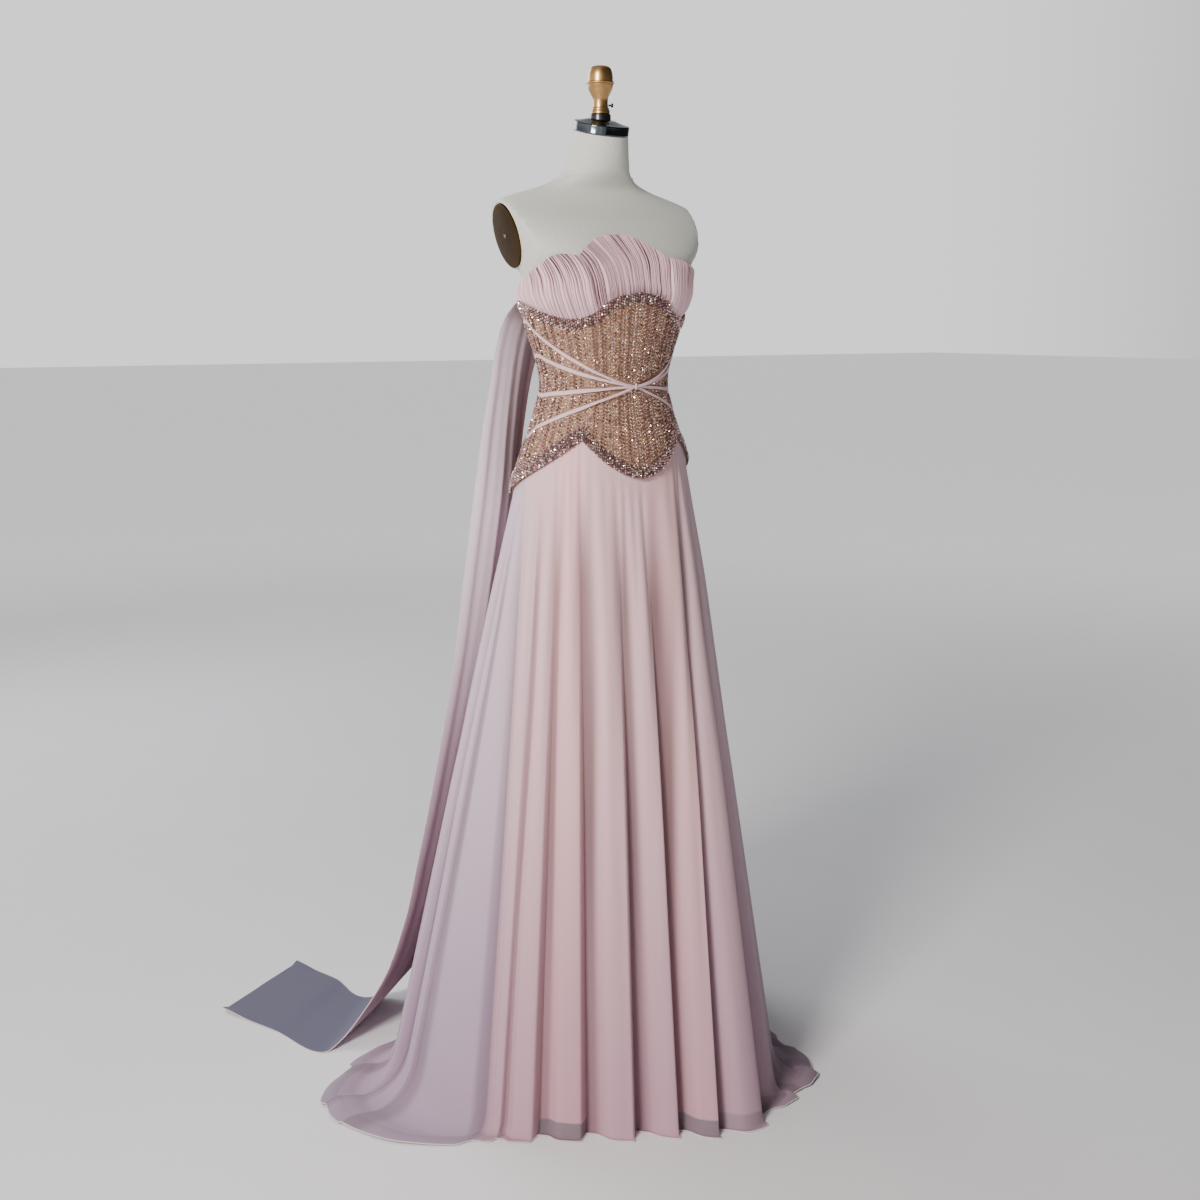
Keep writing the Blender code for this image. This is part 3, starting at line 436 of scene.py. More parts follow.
@dataclass(frozen=True)
class Chiffon:
    """Silk chiffon over its lining: plain woven, sheer and matt, with painted shade in its hollows,
    towards the floor and in its unlined band.
    """

    name: str
    cool: str
    warm: str
    # Painted shade: the hollow tint darkens the cloth where its fold value is low.
    hollow: str
    # Painted shade: the low tint darkens the cloth more and more towards the floor, between the two
    # heights that follow.
    low: str = "#ffffff"
    low_shade_from: float = 0.0
    low_shade_to: float = 0.9
    # Painted shade: the band tint greys the unlined band above the hem, as shade seen through the sheer
    # chiffon.
    band: str = ""
    band_width: float = 0.030
    thread_mm: float = 1.1
    crinkle_mm: float = 9.0
    relief: float = 0.0016

    def material(self) -> Material:
        """Build the cloth's material.

        Returns:
            A material that reads a UV map in metres of cloth, whose v runs up from the hem, and
            the attributes fold (painted shade of the hollows: 0 takes the full hollow tint, 1 none),
            warm (0 cool, 1 warm) and sheer (how strongly the unlined band is painted grey, as
            shade seen through the sheer chiffon).
        """
        material, tree, shader = plain_material(
            self.name, self.cool, 0.82, Sheen_Weight=0.12, Sheen_Roughness=0.5)
        fold, tone = (
            add_node(tree, "Attribute", attribute_name=name).outputs["Fac"] for name in ("fold", "warm"))
        colour = add_node(
            tree, "Mix", {0: tone, 6: linear(self.cool), 7: linear(self.warm)}, data_type="RGBA")
        depth = add_node(tree, "MapRange", {"Value": fold, "To Min": 1.0, "To Max": 0.0})
        place = add_node(tree, "TexCoord")
        height = add_node(tree, "SeparateXYZ", {"Vector": place.outputs["Object"]})
        fall = add_node(
            tree, "MapRange",
            {"Value": height.outputs["Z"], "From Min": self.low_shade_from, "From Max": self.low_shade_to,
             "To Min": 1.0, "To Max": 0.0},
            interpolation_type="SMOOTHSTEP")
        # Painted shade: the hollow tint darkens the hollows, and the low tint darkens the cloth towards
        # the floor.
        for share, tint in ((depth, self.hollow), (fall, self.low)):
            colour = add_node(
                tree, "Mix", {0: share, 6: colour, 7: linear(tint)}, data_type="RGBA",
                blend_type="MULTIPLY")
        uv = add_node(tree, "UVMap", uv_map="cloth")
        if self.band:
            colour = self.paint_band_shade(tree, uv, colour)
        connect(shader, {"Base Color": colour, "Normal": self.creased(tree, uv)})
        return material

    def paint_band_shade(self, tree: NodeTree, uv: Node, colour: Node) -> Node:
        """Paint the sheer band below the lining's end grey, as shade seen through the unlined chiffon;
        its edge wanders a little.
        """
        sheer = add_node(tree, "Attribute", attribute_name="sheer").outputs["Fac"]
        flat = add_node(tree, "SeparateXYZ", {"Vector": uv})
        wander = add_node(tree, "TexNoise", {"Vector": uv, "Scale": 9.0})
        edge = add_node(
            tree, "Math", {0: wander, 1: 0.012, 2: flat.outputs["Y"]}, operation="MULTIPLY_ADD")
        below = add_node(
            tree, "MapRange",
            {"Value": edge, "From Min": self.band_width + 0.005, "From Max": self.band_width + 0.008,
             "To Min": 0.75, "To Max": 0.0})
        share = add_node(tree, "Math", {0: below, 1: sheer}, operation="MULTIPLY")
        return add_node(tree, "Mix", {0: share, 6: colour, 7: linear(self.band)}, data_type="RGBA")

    def creased(self, tree: NodeTree, uv: Node) -> Node:
        """Raise the weave and long soft creases, which are stretched along the cloth's fall."""
        stretch = add_node(tree, "Mapping", {"Vector": uv, "Scale": (1.0, 0.12, 1.0)})
        creases = add_node(
            tree, "TexNoise",
            {"Vector": stretch, "Scale": 1000.0 / self.crinkle_mm / 4, "Detail": 3.0, "Roughness": 0.5})
        weave = crossing_threads(tree, self.thread_mm, 0.6, 0.2, 0.0002)
        return add_node(
            tree, "Bump", {"Height": creases, "Strength": 0.5, "Distance": self.relief, "Normal": weave})


@dataclass(frozen=True)
class Linen:
    """Plain-woven linen drawn tight over padding: pale, dry and faintly ribbed."""

    name: str = "plain-woven linen cover"
    light: str = "#d9dad0"
    dark: str = "#cacbc0"
    thread_mm: float = 1.3

    def material(self) -> Material:
        """Build the cover's material, with threads in both directions and faint slubs."""
        material, tree, shader = plain_material(self.name, self.light, 0.88, Sheen_Weight=0.12)
        place = add_node(tree, "TexCoord").outputs["Object"]
        stretch = add_node(tree, "Mapping", {"Vector": place, "Scale": (1.0, 1.0, 0.3)})
        slubs = add_node(tree, "TexNoise", {"Vector": stretch, "Scale": 520.0, "Detail": 3.0})
        shade = add_node(tree, "MapRange", {"Value": slubs, "From Min": 0.25, "From Max": 0.75})
        tone = add_node(
            tree, "Mix", {0: shade, 6: linear(self.dark), 7: linear(self.light)}, data_type="RGBA")
        weave = crossing_threads(tree, self.thread_mm, 1.0, 0.3, 0.0003)
        connect(shader, {"Base Color": tone, "Normal": weave})
        return material


@dataclass(frozen=True)
class Metal:
    """A plated, cast or enamelled surface, with the fine wear that its polish leaves."""

    name: str
    light: str
    dark: str
    roughness: float
    spread: float = 0.06
    metallic: float = 1.0
    grain_mm: float = 6.0
    coat: float = 0.0

    def material(self) -> Material:
        """Build the material: two close tones and an uneven gloss."""
        material, tree, shader = plain_material(
            self.name, self.light, self.roughness, Metallic=self.metallic, Coat_Weight=self.coat,
            Coat_Roughness=0.08)
        place = add_node(tree, "TexCoord").outputs["Object"]
        wear = add_node(
            tree, "TexNoise",
            {"Vector": place, "Scale": 1000.0 / self.grain_mm, "Detail": 6.0, "Roughness": 0.6})
        tone = add_node(
            tree, "Mix", {0: wear, 6: linear(self.dark), 7: linear(self.light)}, data_type="RGBA")
        gloss = add_node(
            tree, "MapRange",
            {"Value": wear, "To Min": self.roughness - self.spread,
             "To Max": self.roughness + self.spread})
        connect(shader, {"Base Color": tone, "Roughness": gloss})
        return material


@dataclass(frozen=True)
class BeadGlass:
    """Moulded lustre glass: dark in the body with a bright pin of light on each bead."""

    name: str
    light: str
    dark: str
    roughness: float
    metallic: float = 0.35
    coat: float = 0.6

    def material(self) -> Material:
        """Build the material, whose tone follows each bead's own tint attribute."""
        material, tree, shader = plain_material(
            self.name, self.light, self.roughness, Metallic=self.metallic, Coat_Weight=self.coat,
            Coat_Roughness=0.05)
        tint = add_node(tree, "Attribute", attribute_name="tint").outputs["Fac"]
        place = add_node(tree, "TexCoord").outputs["Object"]
        lustre = add_node(tree, "TexNoise", {"Vector": place, "Scale": 300.0, "Detail": 1.0})
        share = add_node(tree, "Math", {0: lustre, 1: 0.2, 2: tint}, operation="MULTIPLY_ADD")
        tone = add_node(
            tree, "Mix", {0: share, 6: linear(self.dark), 7: linear(self.light)}, data_type="RGBA")
        connect(shader, {"Base Color": tone})
        return material


@dataclass(frozen=True)
class Net:
    """Tan net over a stiff lining: matt, with a small mesh of hexagons and gilt thread."""

    name: str = "knotted tan net over lining"
    thread: str = "#c39a7c"
    ground: str = "#8e6a52"
    mesh_mm: float = 2.6

    def material(self) -> Material:
        """Build the material: raised threads round the net's cells."""
        material, tree, shader = plain_material(self.name, self.thread, 0.6, Sheen_Weight=0.2)
        uv = add_node(tree, "UVMap", uv_map="cloth")
        cells = add_node(
            tree, "TexVoronoi", {"Vector": uv, "Scale": 1000.0 / self.mesh_mm, "Randomness": 0.25},
            feature="DISTANCE_TO_EDGE", voronoi_dimensions="2D")
        threads = add_node(
            tree, "MapRange",
            {"Value": cells, "From Min": 0.06, "From Max": 0.16, "To Min": 1.0, "To Max": 0.0})
        tone = add_node(
            tree, "Mix", {0: threads, 6: linear(self.ground), 7: linear(self.thread)}, data_type="RGBA")
        raised = add_node(tree, "Bump", {"Height": threads, "Strength": 0.6, "Distance": 0.0004})
        connect(shader, {"Base Color": tone, "Normal": raised})
        return material


class Palette:
    """Every material of the gown, its form and its stand, made once."""

    def __init__(self) -> None:
        """Make all the materials."""
        # The skirt's hollow, low and band tints are painted shade: in its hollows, towards the floor and
        # in the unlined band.
        self.skirt = Chiffon(
            "blush chiffon over lining", "#cebccb", "#f1c1c2", "#a39d9d", low="#cdc6d2",
            band="#5e5d66").material()
        # Painted shade: the shells' dark hollow tint darkens the grooves of their pleats.
        self.shell = Chiffon(
            "pleated blush chiffon", "#f4cad2", "#f4cad2", "#573640", crinkle_mm=4.0).material()
        # Painted shade: the hollow tint darkens the ribbons towards their rolled edges.
        self.strap = Chiffon(
            "blush chiffon ribbon", "#e6c5cb", "#e6c5cb", "#b58f95", crinkle_mm=3.0).material()
        # The streamer is one single layer of chiffon: the tones of its two faces differ only by painted
        # light and shade. The inner face, which looks away from the key light, is painted lighter, with
        # painted shade growing towards the floor, and the outer face's low tint is a bluish painted shade
        # towards and on the floor.
        self.streamer_outside = Chiffon(
            "single chiffon, outer face", "#cfc4ce", "#cfc4ce", "#a48e98", low="#70768a",
            low_shade_to=0.6).material()
        self.streamer_inside = Chiffon(
            "single chiffon, inner face", "#dccbd6", "#dccbd6", "#a38a90", low="#b6a2aa", low_shade_from=0.15,
            low_shade_to=1.0).material()
        self.hem = Chiffon(
            "rolled chiffon hem", "#d9c6ca", "#d9c6ca", "#d9c6ca", crinkle_mm=2.0).material()
        self.linen = Linen().material()
        # Polished plate over a dark underlayer: near mirror, in grey-black tones.
        self.chrome = Metal("polished dark chrome", "#697076", "#4f555a", 0.10, 0.04).material()
        # Baked enamel: a black body under a glossy skin with slight orange peel.
        self.enamel = Metal(
            "black baked enamel", "#1b1b1d", "#121214", 0.30, 0.05, 0.0, coat=0.5).material()
        # Cast bronze left to darken: brown with rubbed yellow high places.
        self.bronze = Metal(
            "aged cast bronze", "#5f4726", "#2a1f15", 0.34, 0.08, grain_mm=30.0).material()
        # Turned steel: plain grey with a soft gleam.
        self.steel = Metal("turned steel", "#9a9690", "#7d7a76", 0.28).material()
        # Gold paint rubbed over turned wood: warm, satin and a little darker where worn.
        self.gilt = Metal(
            "turned wood with rubbed gold paint", "#c8a06b", "#a98150", 0.30, 0.06, 0.9, 18.0).material()
        # The net's ground is darker than its threads: partly the net's own ground tone, partly painted
        # shade between the beads.
        self.net = Net().material()
        self.trim_ground = Net("tan net band", "#6e4e46", "#432c29").material()
        self.mauve_bead = BeadGlass(
            "mauve lustre glass bead", "#ba908c", "#3a1e21", 0.12, 0.45).material()
        self.gold_bugle = BeadGlass(
            "silver-lined rose gold bugle", "#f8d7b6", "#bb9071", 0.20, 0.4).material()
        self.gold_seed = BeadGlass(
            "rose gold lustre seed bead", "#f6d3b2", "#a67a5f", 0.20, 0.4).material()
        self.crystal = BeadGlass(
            "foil-backed cut crystal", "#ffeadf", "#a0827a", 0.14, 0.7, 0.8).material()
        self.zip_cloth = Net("woven zip tape", "#b59a90", "#a0867e", 0.9).material()
        # Drawn brass: warm, bright and lightly scratched.
        self.brass = Metal("polished brass", "#c9a56c", "#a8854e", 0.22).material()


# --------------------------------------
# The body's surface and the bodice's edges
# --------------------------------------


@dataclass(frozen=True)
class BodySurface:
    """The dress form's surface, which every layer of the bodice follows at a stated distance."""

    # Height, half width, front depth, back depth and centre of each level section.
    sections: tuple = (
        (0.780, 0.146, 0.098, 0.102, 0.000), (0.860, 0.158, 0.106, 0.111, 0.000),
        (0.940, 0.165, 0.113, 0.116, 0.000), (1.020, 0.162, 0.115, 0.112, 0.000),
        (1.080, 0.142, 0.106, 0.097, 0.000), (1.140, 0.120, 0.093, 0.083, 0.000),
        (1.190, 0.109, 0.087, 0.078, 0.000), (1.240, 0.121, 0.093, 0.085, 0.000),
        (1.290, 0.138, 0.102, 0.095, 0.000), (1.330, 0.148, 0.106, 0.103, 0.000),
        (1.365, 0.150, 0.105, 0.108, 0.000), (1.385, 0.163, 0.104, 0.111, 0.000),
        (1.420, 0.205, 0.094, 0.110, 0.010), (1.455, 0.222, 0.072, 0.090, 0.020),
        (1.480, 0.205, 0.050, 0.066, 0.030), (1.496, 0.162, 0.041, 0.052, 0.033),
        (1.509, 0.116, 0.038, 0.045, 0.033), (1.521, 0.083, 0.043, 0.047, 0.030),
        (1.535, 0.063, 0.050, 0.051, 0.025), (1.555, 0.055, 0.051, 0.052, 0.019),
        (1.602, 0.0465, 0.0460, 0.0470, 0.009))
    bust_angle: float = 40.0
    bust_spread: float = 24.0
    bust_height: float = 1.365
    bust_tall: float = 0.045
    bust_out: float = 0.010
    notch_angle: float = 42.0
    top_heights: tuple = (
        (0, 1.338), (20, 1.325), (33, 1.302), (48, 1.294), (66, 1.301), (84, 1.313), (112, 1.323),
        (180, 1.312))
    centre_scallop: tuple = ((0, 1.030), (10, 1.037), (24, 1.058), (34, 1.079), (42, 1.096))
    side_scallop: tuple = (
        (42, 1.096), (62, 1.062), (80, 1.037), (112, 1.004), (150, 0.984), (180, 0.978))

    def points(self, angle: Array, height: Array, out: Array) -> Array:
        """Points of the surface at these angles and heights, moved out by a distance."""
        angle, height, out = np.broadcast_arrays(angle, height, out)
        turn = np.radians(angle)
        away = np.minimum(np.abs(angle - self.bust_angle), np.abs(angle + self.bust_angle))
        across = (away / self.bust_spread) ** 2
        up = ((height - self.bust_height) / self.bust_tall) ** 2
        mound = self.bust_out * np.exp(-across - up) + out
        front = read_column(self.sections, 2, height)
        back = read_column(self.sections, 3, height)
        depth = np.where(np.cos(turn) > 0, front, back) + mound
        x = (read_column(self.sections, 1, height) + mound) * np.sin(turn)
        y = read_column(self.sections, 4, height) - depth * np.cos(turn)
        return np.stack([x, y, height], axis=-1)

    def turns(self, angle: Array, height: Array, spin: Array) -> Array:
        """Rotations that stand a bead on the surface.

        Args:
            angle: The beads' angles.
            height: The beads' heights.
            spin: How far each is turned on the surface, in degrees from upright.

        Returns:
            Euler angles in radians: local z points outwards, and local y up at no spin.
        """
        here = self.points(angle, height, 0.0)
        beside = self.points(angle + 0.5, height, 0.0) - here
        above = self.points(angle, height + 0.002, 0.0) - here
        z = np.cross(beside, above)
        z = z / np.linalg.norm(z, axis=-1, keepdims=True)
        up = above / np.linalg.norm(above, axis=-1, keepdims=True)
        left = np.cross(up, z)
        turn = np.radians(spin)[..., None]
        y = up * np.cos(turn) + left * np.sin(turn)
        x = np.cross(y, z)
        about_x = np.arctan2(y[..., 2], z[..., 2])
        about_y = -np.arcsin(np.clip(x[..., 2], -1.0, 1.0))
        about_z = np.arctan2(x[..., 1], x[..., 0])
        return np.stack([about_x, about_y, about_z], axis=-1)

    def top_edge(self, angle: Array) -> Array:
        """The upper edge of the top trim."""
        return read_column(self.top_heights, 1, np.abs(angle))

    def lower_edge(self, angle: Array) -> Array:
        """The corset's lower edge: a scallop in front, a notch each side, a fall to the back."""
        away = np.abs(angle)
        centre = read_column(self.centre_scallop, 1, away)
        side = read_column(self.side_scallop, 1, away)
        return np.where(away < self.notch_angle, centre, side)

    def lower_trim(self, angle: Array) -> Array:
        """Width of the lower trim, which grows from the centre scallop to the sides."""
        share = smooth_step(0.4 * self.notch_angle, 2.0 * self.notch_angle, np.abs(angle))
        return 0.020 + 0.013 * share


# --------------------------------------
# Dress form and stand
# --------------------------------------


@dataclass
class DressForm:
    """The limbless padded form with its cap, socket, turned finial and arm plates."""

    surface: BodySurface
    palette: Palette
    sides: int = 120
    rows: int = 110
    shoulder: float = 1.44
    neck_base: float = 1.535
    neck_top: float = 1.602
    neck_tilt: float = math.radians(14)
    neck_centre: float = 0.009
    arm: tuple = (0.169, 0.030, 1.430)
    arm_tilt: float = math.radians(16)
    plate_half: tuple = (0.038, 0.054)
    plate_thick: float = 0.004
    seam: float = 0.0003
    cap_radius: float = 0.0475
    cap_band: float = 0.016
    cap_crown: float = 0.006
    socket_radius: float = 0.0180
    socket_top: float = 1.632
    finial_y: float = 0.010
    screw_turn: float = math.radians(57)
    screw_height: float = 1.6465
    screw_start: float = 0.0130
    pin_radius: float = 0.003
    # Radius and height of each ring: collar, neck, bowl, bead and dome.
    finial_profile: tuple = (
        (0.0150, 0.0000), (0.0161, 0.0006), (0.0162, 0.0052), (0.0156, 0.0060), (0.0150, 0.0064),
        (0.0150, 0.0090), (0.0143, 0.0101), (0.0131, 0.0108), (0.0128, 0.0140), (0.0128, 0.0220),
        (0.0131, 0.0250), (0.0142, 0.0284), (0.0165, 0.0326), (0.0188, 0.0370), (0.0205, 0.0415),
        (0.0215, 0.0462), (0.0217, 0.0478), (0.0228, 0.0484), (0.0234, 0.0494), (0.0234, 0.0510),
        (0.0228, 0.0520), (0.0215, 0.0526), (0.0213, 0.0545), (0.0212, 0.0600), (0.0206, 0.0650),
        (0.0195, 0.0697), (0.0176, 0.0737), (0.0145, 0.0764), (0.0100, 0.0777), (0.0040, 0.0780))

    def build(self) -> None:
        """Build and dress every piece of the form."""
        self.torso()
        self.neck_seam()
        self.cap()
        self.socket_and_finial()
        for name, side in (("right", -1), ("left", 1)):
            self.arm_plate(name, side)

    def ring(self, height: float, out: float = 0.0) -> Array:
        """One level ring of the cover, cut at the arm planes and tilted up the neck."""
        angles = np.arange(self.sides) * 360.0 / self.sides - 180.0
        ring = self.surface.points(angles, height, out)
        limit = self.arm[0] + math.tan(self.arm_tilt) * (height - self.arm[2])
        ring[:, 0] = np.clip(ring[:, 0], -limit, limit)
        share = smooth_step(self.neck_base, self.neck_top, np.array(height))
        centre = read_column(self.surface.sections, 4, np.array(height))
        ring[:, 2] += share * math.tan(self.neck_tilt) * (ring[:, 1] - centre)
        return ring

    def torso(self) -> None:
        """The linen cover, smooth from hip to neck."""
        low = self.surface.sections[0][0]
        body = np.linspace(low, self.shoulder, self.rows * 6 // 10, endpoint=False)
        above = np.linspace(self.shoulder, self.neck_top, self.rows * 4 // 10)
        rings = np.array([self.ring(height) for height in [*body, *above]])
        piece = closed_loft("form_cover", rings, [self.palette.linen], 40.0)
        around = run_lengths(rings, 1)
        set_uv(piece, np.stack([around, rings[:, :, 2]], axis=-1).reshape(-1, 2))
        dress(piece, "form_linen", "form_torso")

    def neck_seam(self) -> None:
        """The seam where the neck's cover meets the shoulders': a fine corded ridge."""
        line = self.ring(1.527, 0.0002)
        line[:, 2] -= 0.10 * (line[:, 1] - 0.028)
        seam = tube_along("form_neck_seam", line, 0.0007, 6, [self.palette.linen], ring=True)
        dress(seam, "form_linen")

    def tilted(self, radius: float, rise: float, sides: int) -> Array:
        """A ring square to the neck's tilted axis, this far above the neck's top."""
        ring = polar(np.arange(sides) * 360.0 / sides, radius, 0.0)
        y = ring[:, 1] * math.cos(self.neck_tilt) - rise * math.sin(self.neck_tilt)
        z = ring[:, 1] * math.sin(self.neck_tilt) + rise * math.cos(self.neck_tilt)
        return np.stack([ring[:, 0], y + self.neck_centre, z + self.neck_top], axis=-1)

    def cap(self) -> None:
        """The polished cap: a rolled lower lip, a straight band and a low domed crown."""
        band, crown, radius = self.cap_band, self.cap_crown, self.cap_radius
        levels = (
            (radius - 0.0010, self.seam), (radius, self.seam + 0.0006),
            (radius + 0.0003, self.seam + 0.0018), (radius - 0.0002, self.seam + 0.0028),
            (radius - 0.0002, band - 0.0018), (radius - 0.0006, band - 0.0006), (radius - 0.0014, band),
            (radius * 0.95, band + crown * 0.04), (radius * 0.80, band + crown * 0.20),
            (radius * 0.62, band + crown * 0.55), (radius * 0.45, band + crown))
        rings = np.array([self.tilted(size, rise, 72) for size, rise in levels])
        piece = closed_loft("polished_neck_cap", rings, [self.palette.chrome], 50.0)
        dress(piece, "cap_chrome", "neck_cap")

    def socket_and_finial(self) -> None:
        """The dark socket, the turned finial in it and its small thumb screw."""
        angles = np.arange(48) * 360.0 / 48
        top = self.socket_top
        rise = self.cap_band + self.cap_crown + self.seam
        middle_y = self.neck_centre - rise * math.sin(self.neck_tilt)
        middle_z = self.neck_top + rise * math.cos(self.neck_tilt)
        rings = []
        for radius, share in ((0.0, 0.0), (-0.0002, 0.85), (-0.0006, 0.96), (-0.0016, 1.0)):
            ring = polar(angles, self.socket_radius + radius, top)
            ring[:, 1] += self.finial_y
            foot = middle_z + (ring[:, 1] - middle_y) * math.tan(self.neck_tilt)
            ring[:, 2] = foot + (top - foot) * share
            rings.append(ring)
        socket = closed_loft("enamelled_socket", np.array(rings), [self.palette.enamel], 40.0)
        dress(socket, "black_enamel", "finial_socket")

        rings = turned(self.finial_profile, 72, (0.0, self.finial_y, top + self.seam))
        finial = closed_loft("gilt_finial", rings, [self.palette.gilt], 40.0)
        dress(finial, "gilt_wood", "finial")

        turn = self.screw_turn
        along = np.array([math.sin(turn), -math.cos(turn), 0.0])
        across = np.array([math.cos(turn), math.sin(turn), 0.0])
        turns = np.radians(np.arange(28) * 360.0 / 28)[:, None]
        circle = np.cos(turns) * across + np.sin(turns) * np.array([0.0, 0.0, 1.0])
        start = np.array([0.0, self.finial_y, self.screw_height]) + along * (self.screw_start + self.seam)
        outline = (
            (0.0016, 0.0), (0.0016, 0.0042), (0.0030, 0.0046), (0.0035, 0.0052), (0.0035, 0.0076),
            (0.0028, 0.0085))
        rings = np.array([start + along * reach + circle * size for size, reach in outline])
        screw = closed_loft("finial_thumb_screw", rings, [self.palette.enamel], 40.0)
        dress(screw, "black_enamel", "finial_screw")

    def oval(self, side: int, scale: float, out: float, sides: int = 72) -> Array:
        """An oval on an arm plate's plane, this far outside it."""
        turns = np.radians(np.arange(sides) * 360.0 / sides)
        up = self.plate_half[1] * scale * np.cos(turns)
        across = self.plate_half[0] * scale * np.sin(turns)
        x = self.arm[0] + up * math.sin(self.arm_tilt) + out * math.cos(self.arm_tilt)
        z = self.arm[2] + up * math.cos(self.arm_tilt) - out * math.sin(self.arm_tilt)
        return np.stack([side * x, self.arm[1] + across, z], axis=-1)

    def arm_plate(self, name: str, side: int) -> None:
        """An oval bronze plate, slightly domed, with its pin and the cover's rolled rim."""
        thick = self.plate_thick
        rings = [
            self.oval(side, 0.998, self.seam), self.oval(side, 1.0, thick - 0.0012),
            self.oval(side, 0.992, thick - 0.0004), self.oval(side, 0.972, thick),
            self.oval(side, 0.93, thick + 0.0001), self.oval(side, 0.80, thick + 0.0006),
            self.oval(side, 0.55, thick + 0.0012), self.oval(side, 0.12, thick + 0.0015)]
        plate = closed_loft(f"bronze_arm_plate_{name}", np.array(rings), [self.palette.bronze])
        dress(plate, "aged_bronze", f"arm_plate_{name}")
        head = self.pin_radius / self.plate_half[0]
        steps = ((1.0, 0.0003), (1.0, 0.0010), (0.8, 0.0015), (0.35, 0.0018))
        pin = np.array([self.oval(side, head * scale, thick + 0.0015 + out, 20) for scale, out in steps])
        pin[:, :, 2] = self.arm[2] + (pin[:, :, 2] - self.arm[2]) * 0.75
        dress(
            closed_loft(f"steel_pin_{name}", pin, [self.palette.steel], 60.0), "pin_steel",
            f"arm_pin_{name}")
        rim = tube_along(
            f"form_arm_rim_{name}", self.oval(side, 1.03, 0.0002, 96), 0.0012, 8, [self.palette.linen],
            ring=True)
        dress(rim, "form_linen")


@dataclass
class Stand:
    """The pole and the weighted base, whose solids have the right shape already."""

    palette: Palette

    def build(self, nodes: dict[str, Object]) -> None:
        """Enamel the two CAD nodes."""
        for name in ("stand_base", "stand_pole"):
            enamelled(nodes[name], self.palette.enamel)


def enamelled(node: Object, material: Material) -> None:
    """Put one material on every slot of a CAD node."""
    for slot in node.material_slots:
        slot.material = material


# --------------------------------------
# Beadwork
# --------------------------------------


class BeadShape(Enum):
    """The cut of a bead."""

    CUT = "cut"
    BUGLE = "bugle"
    CRYSTAL = "crystal"


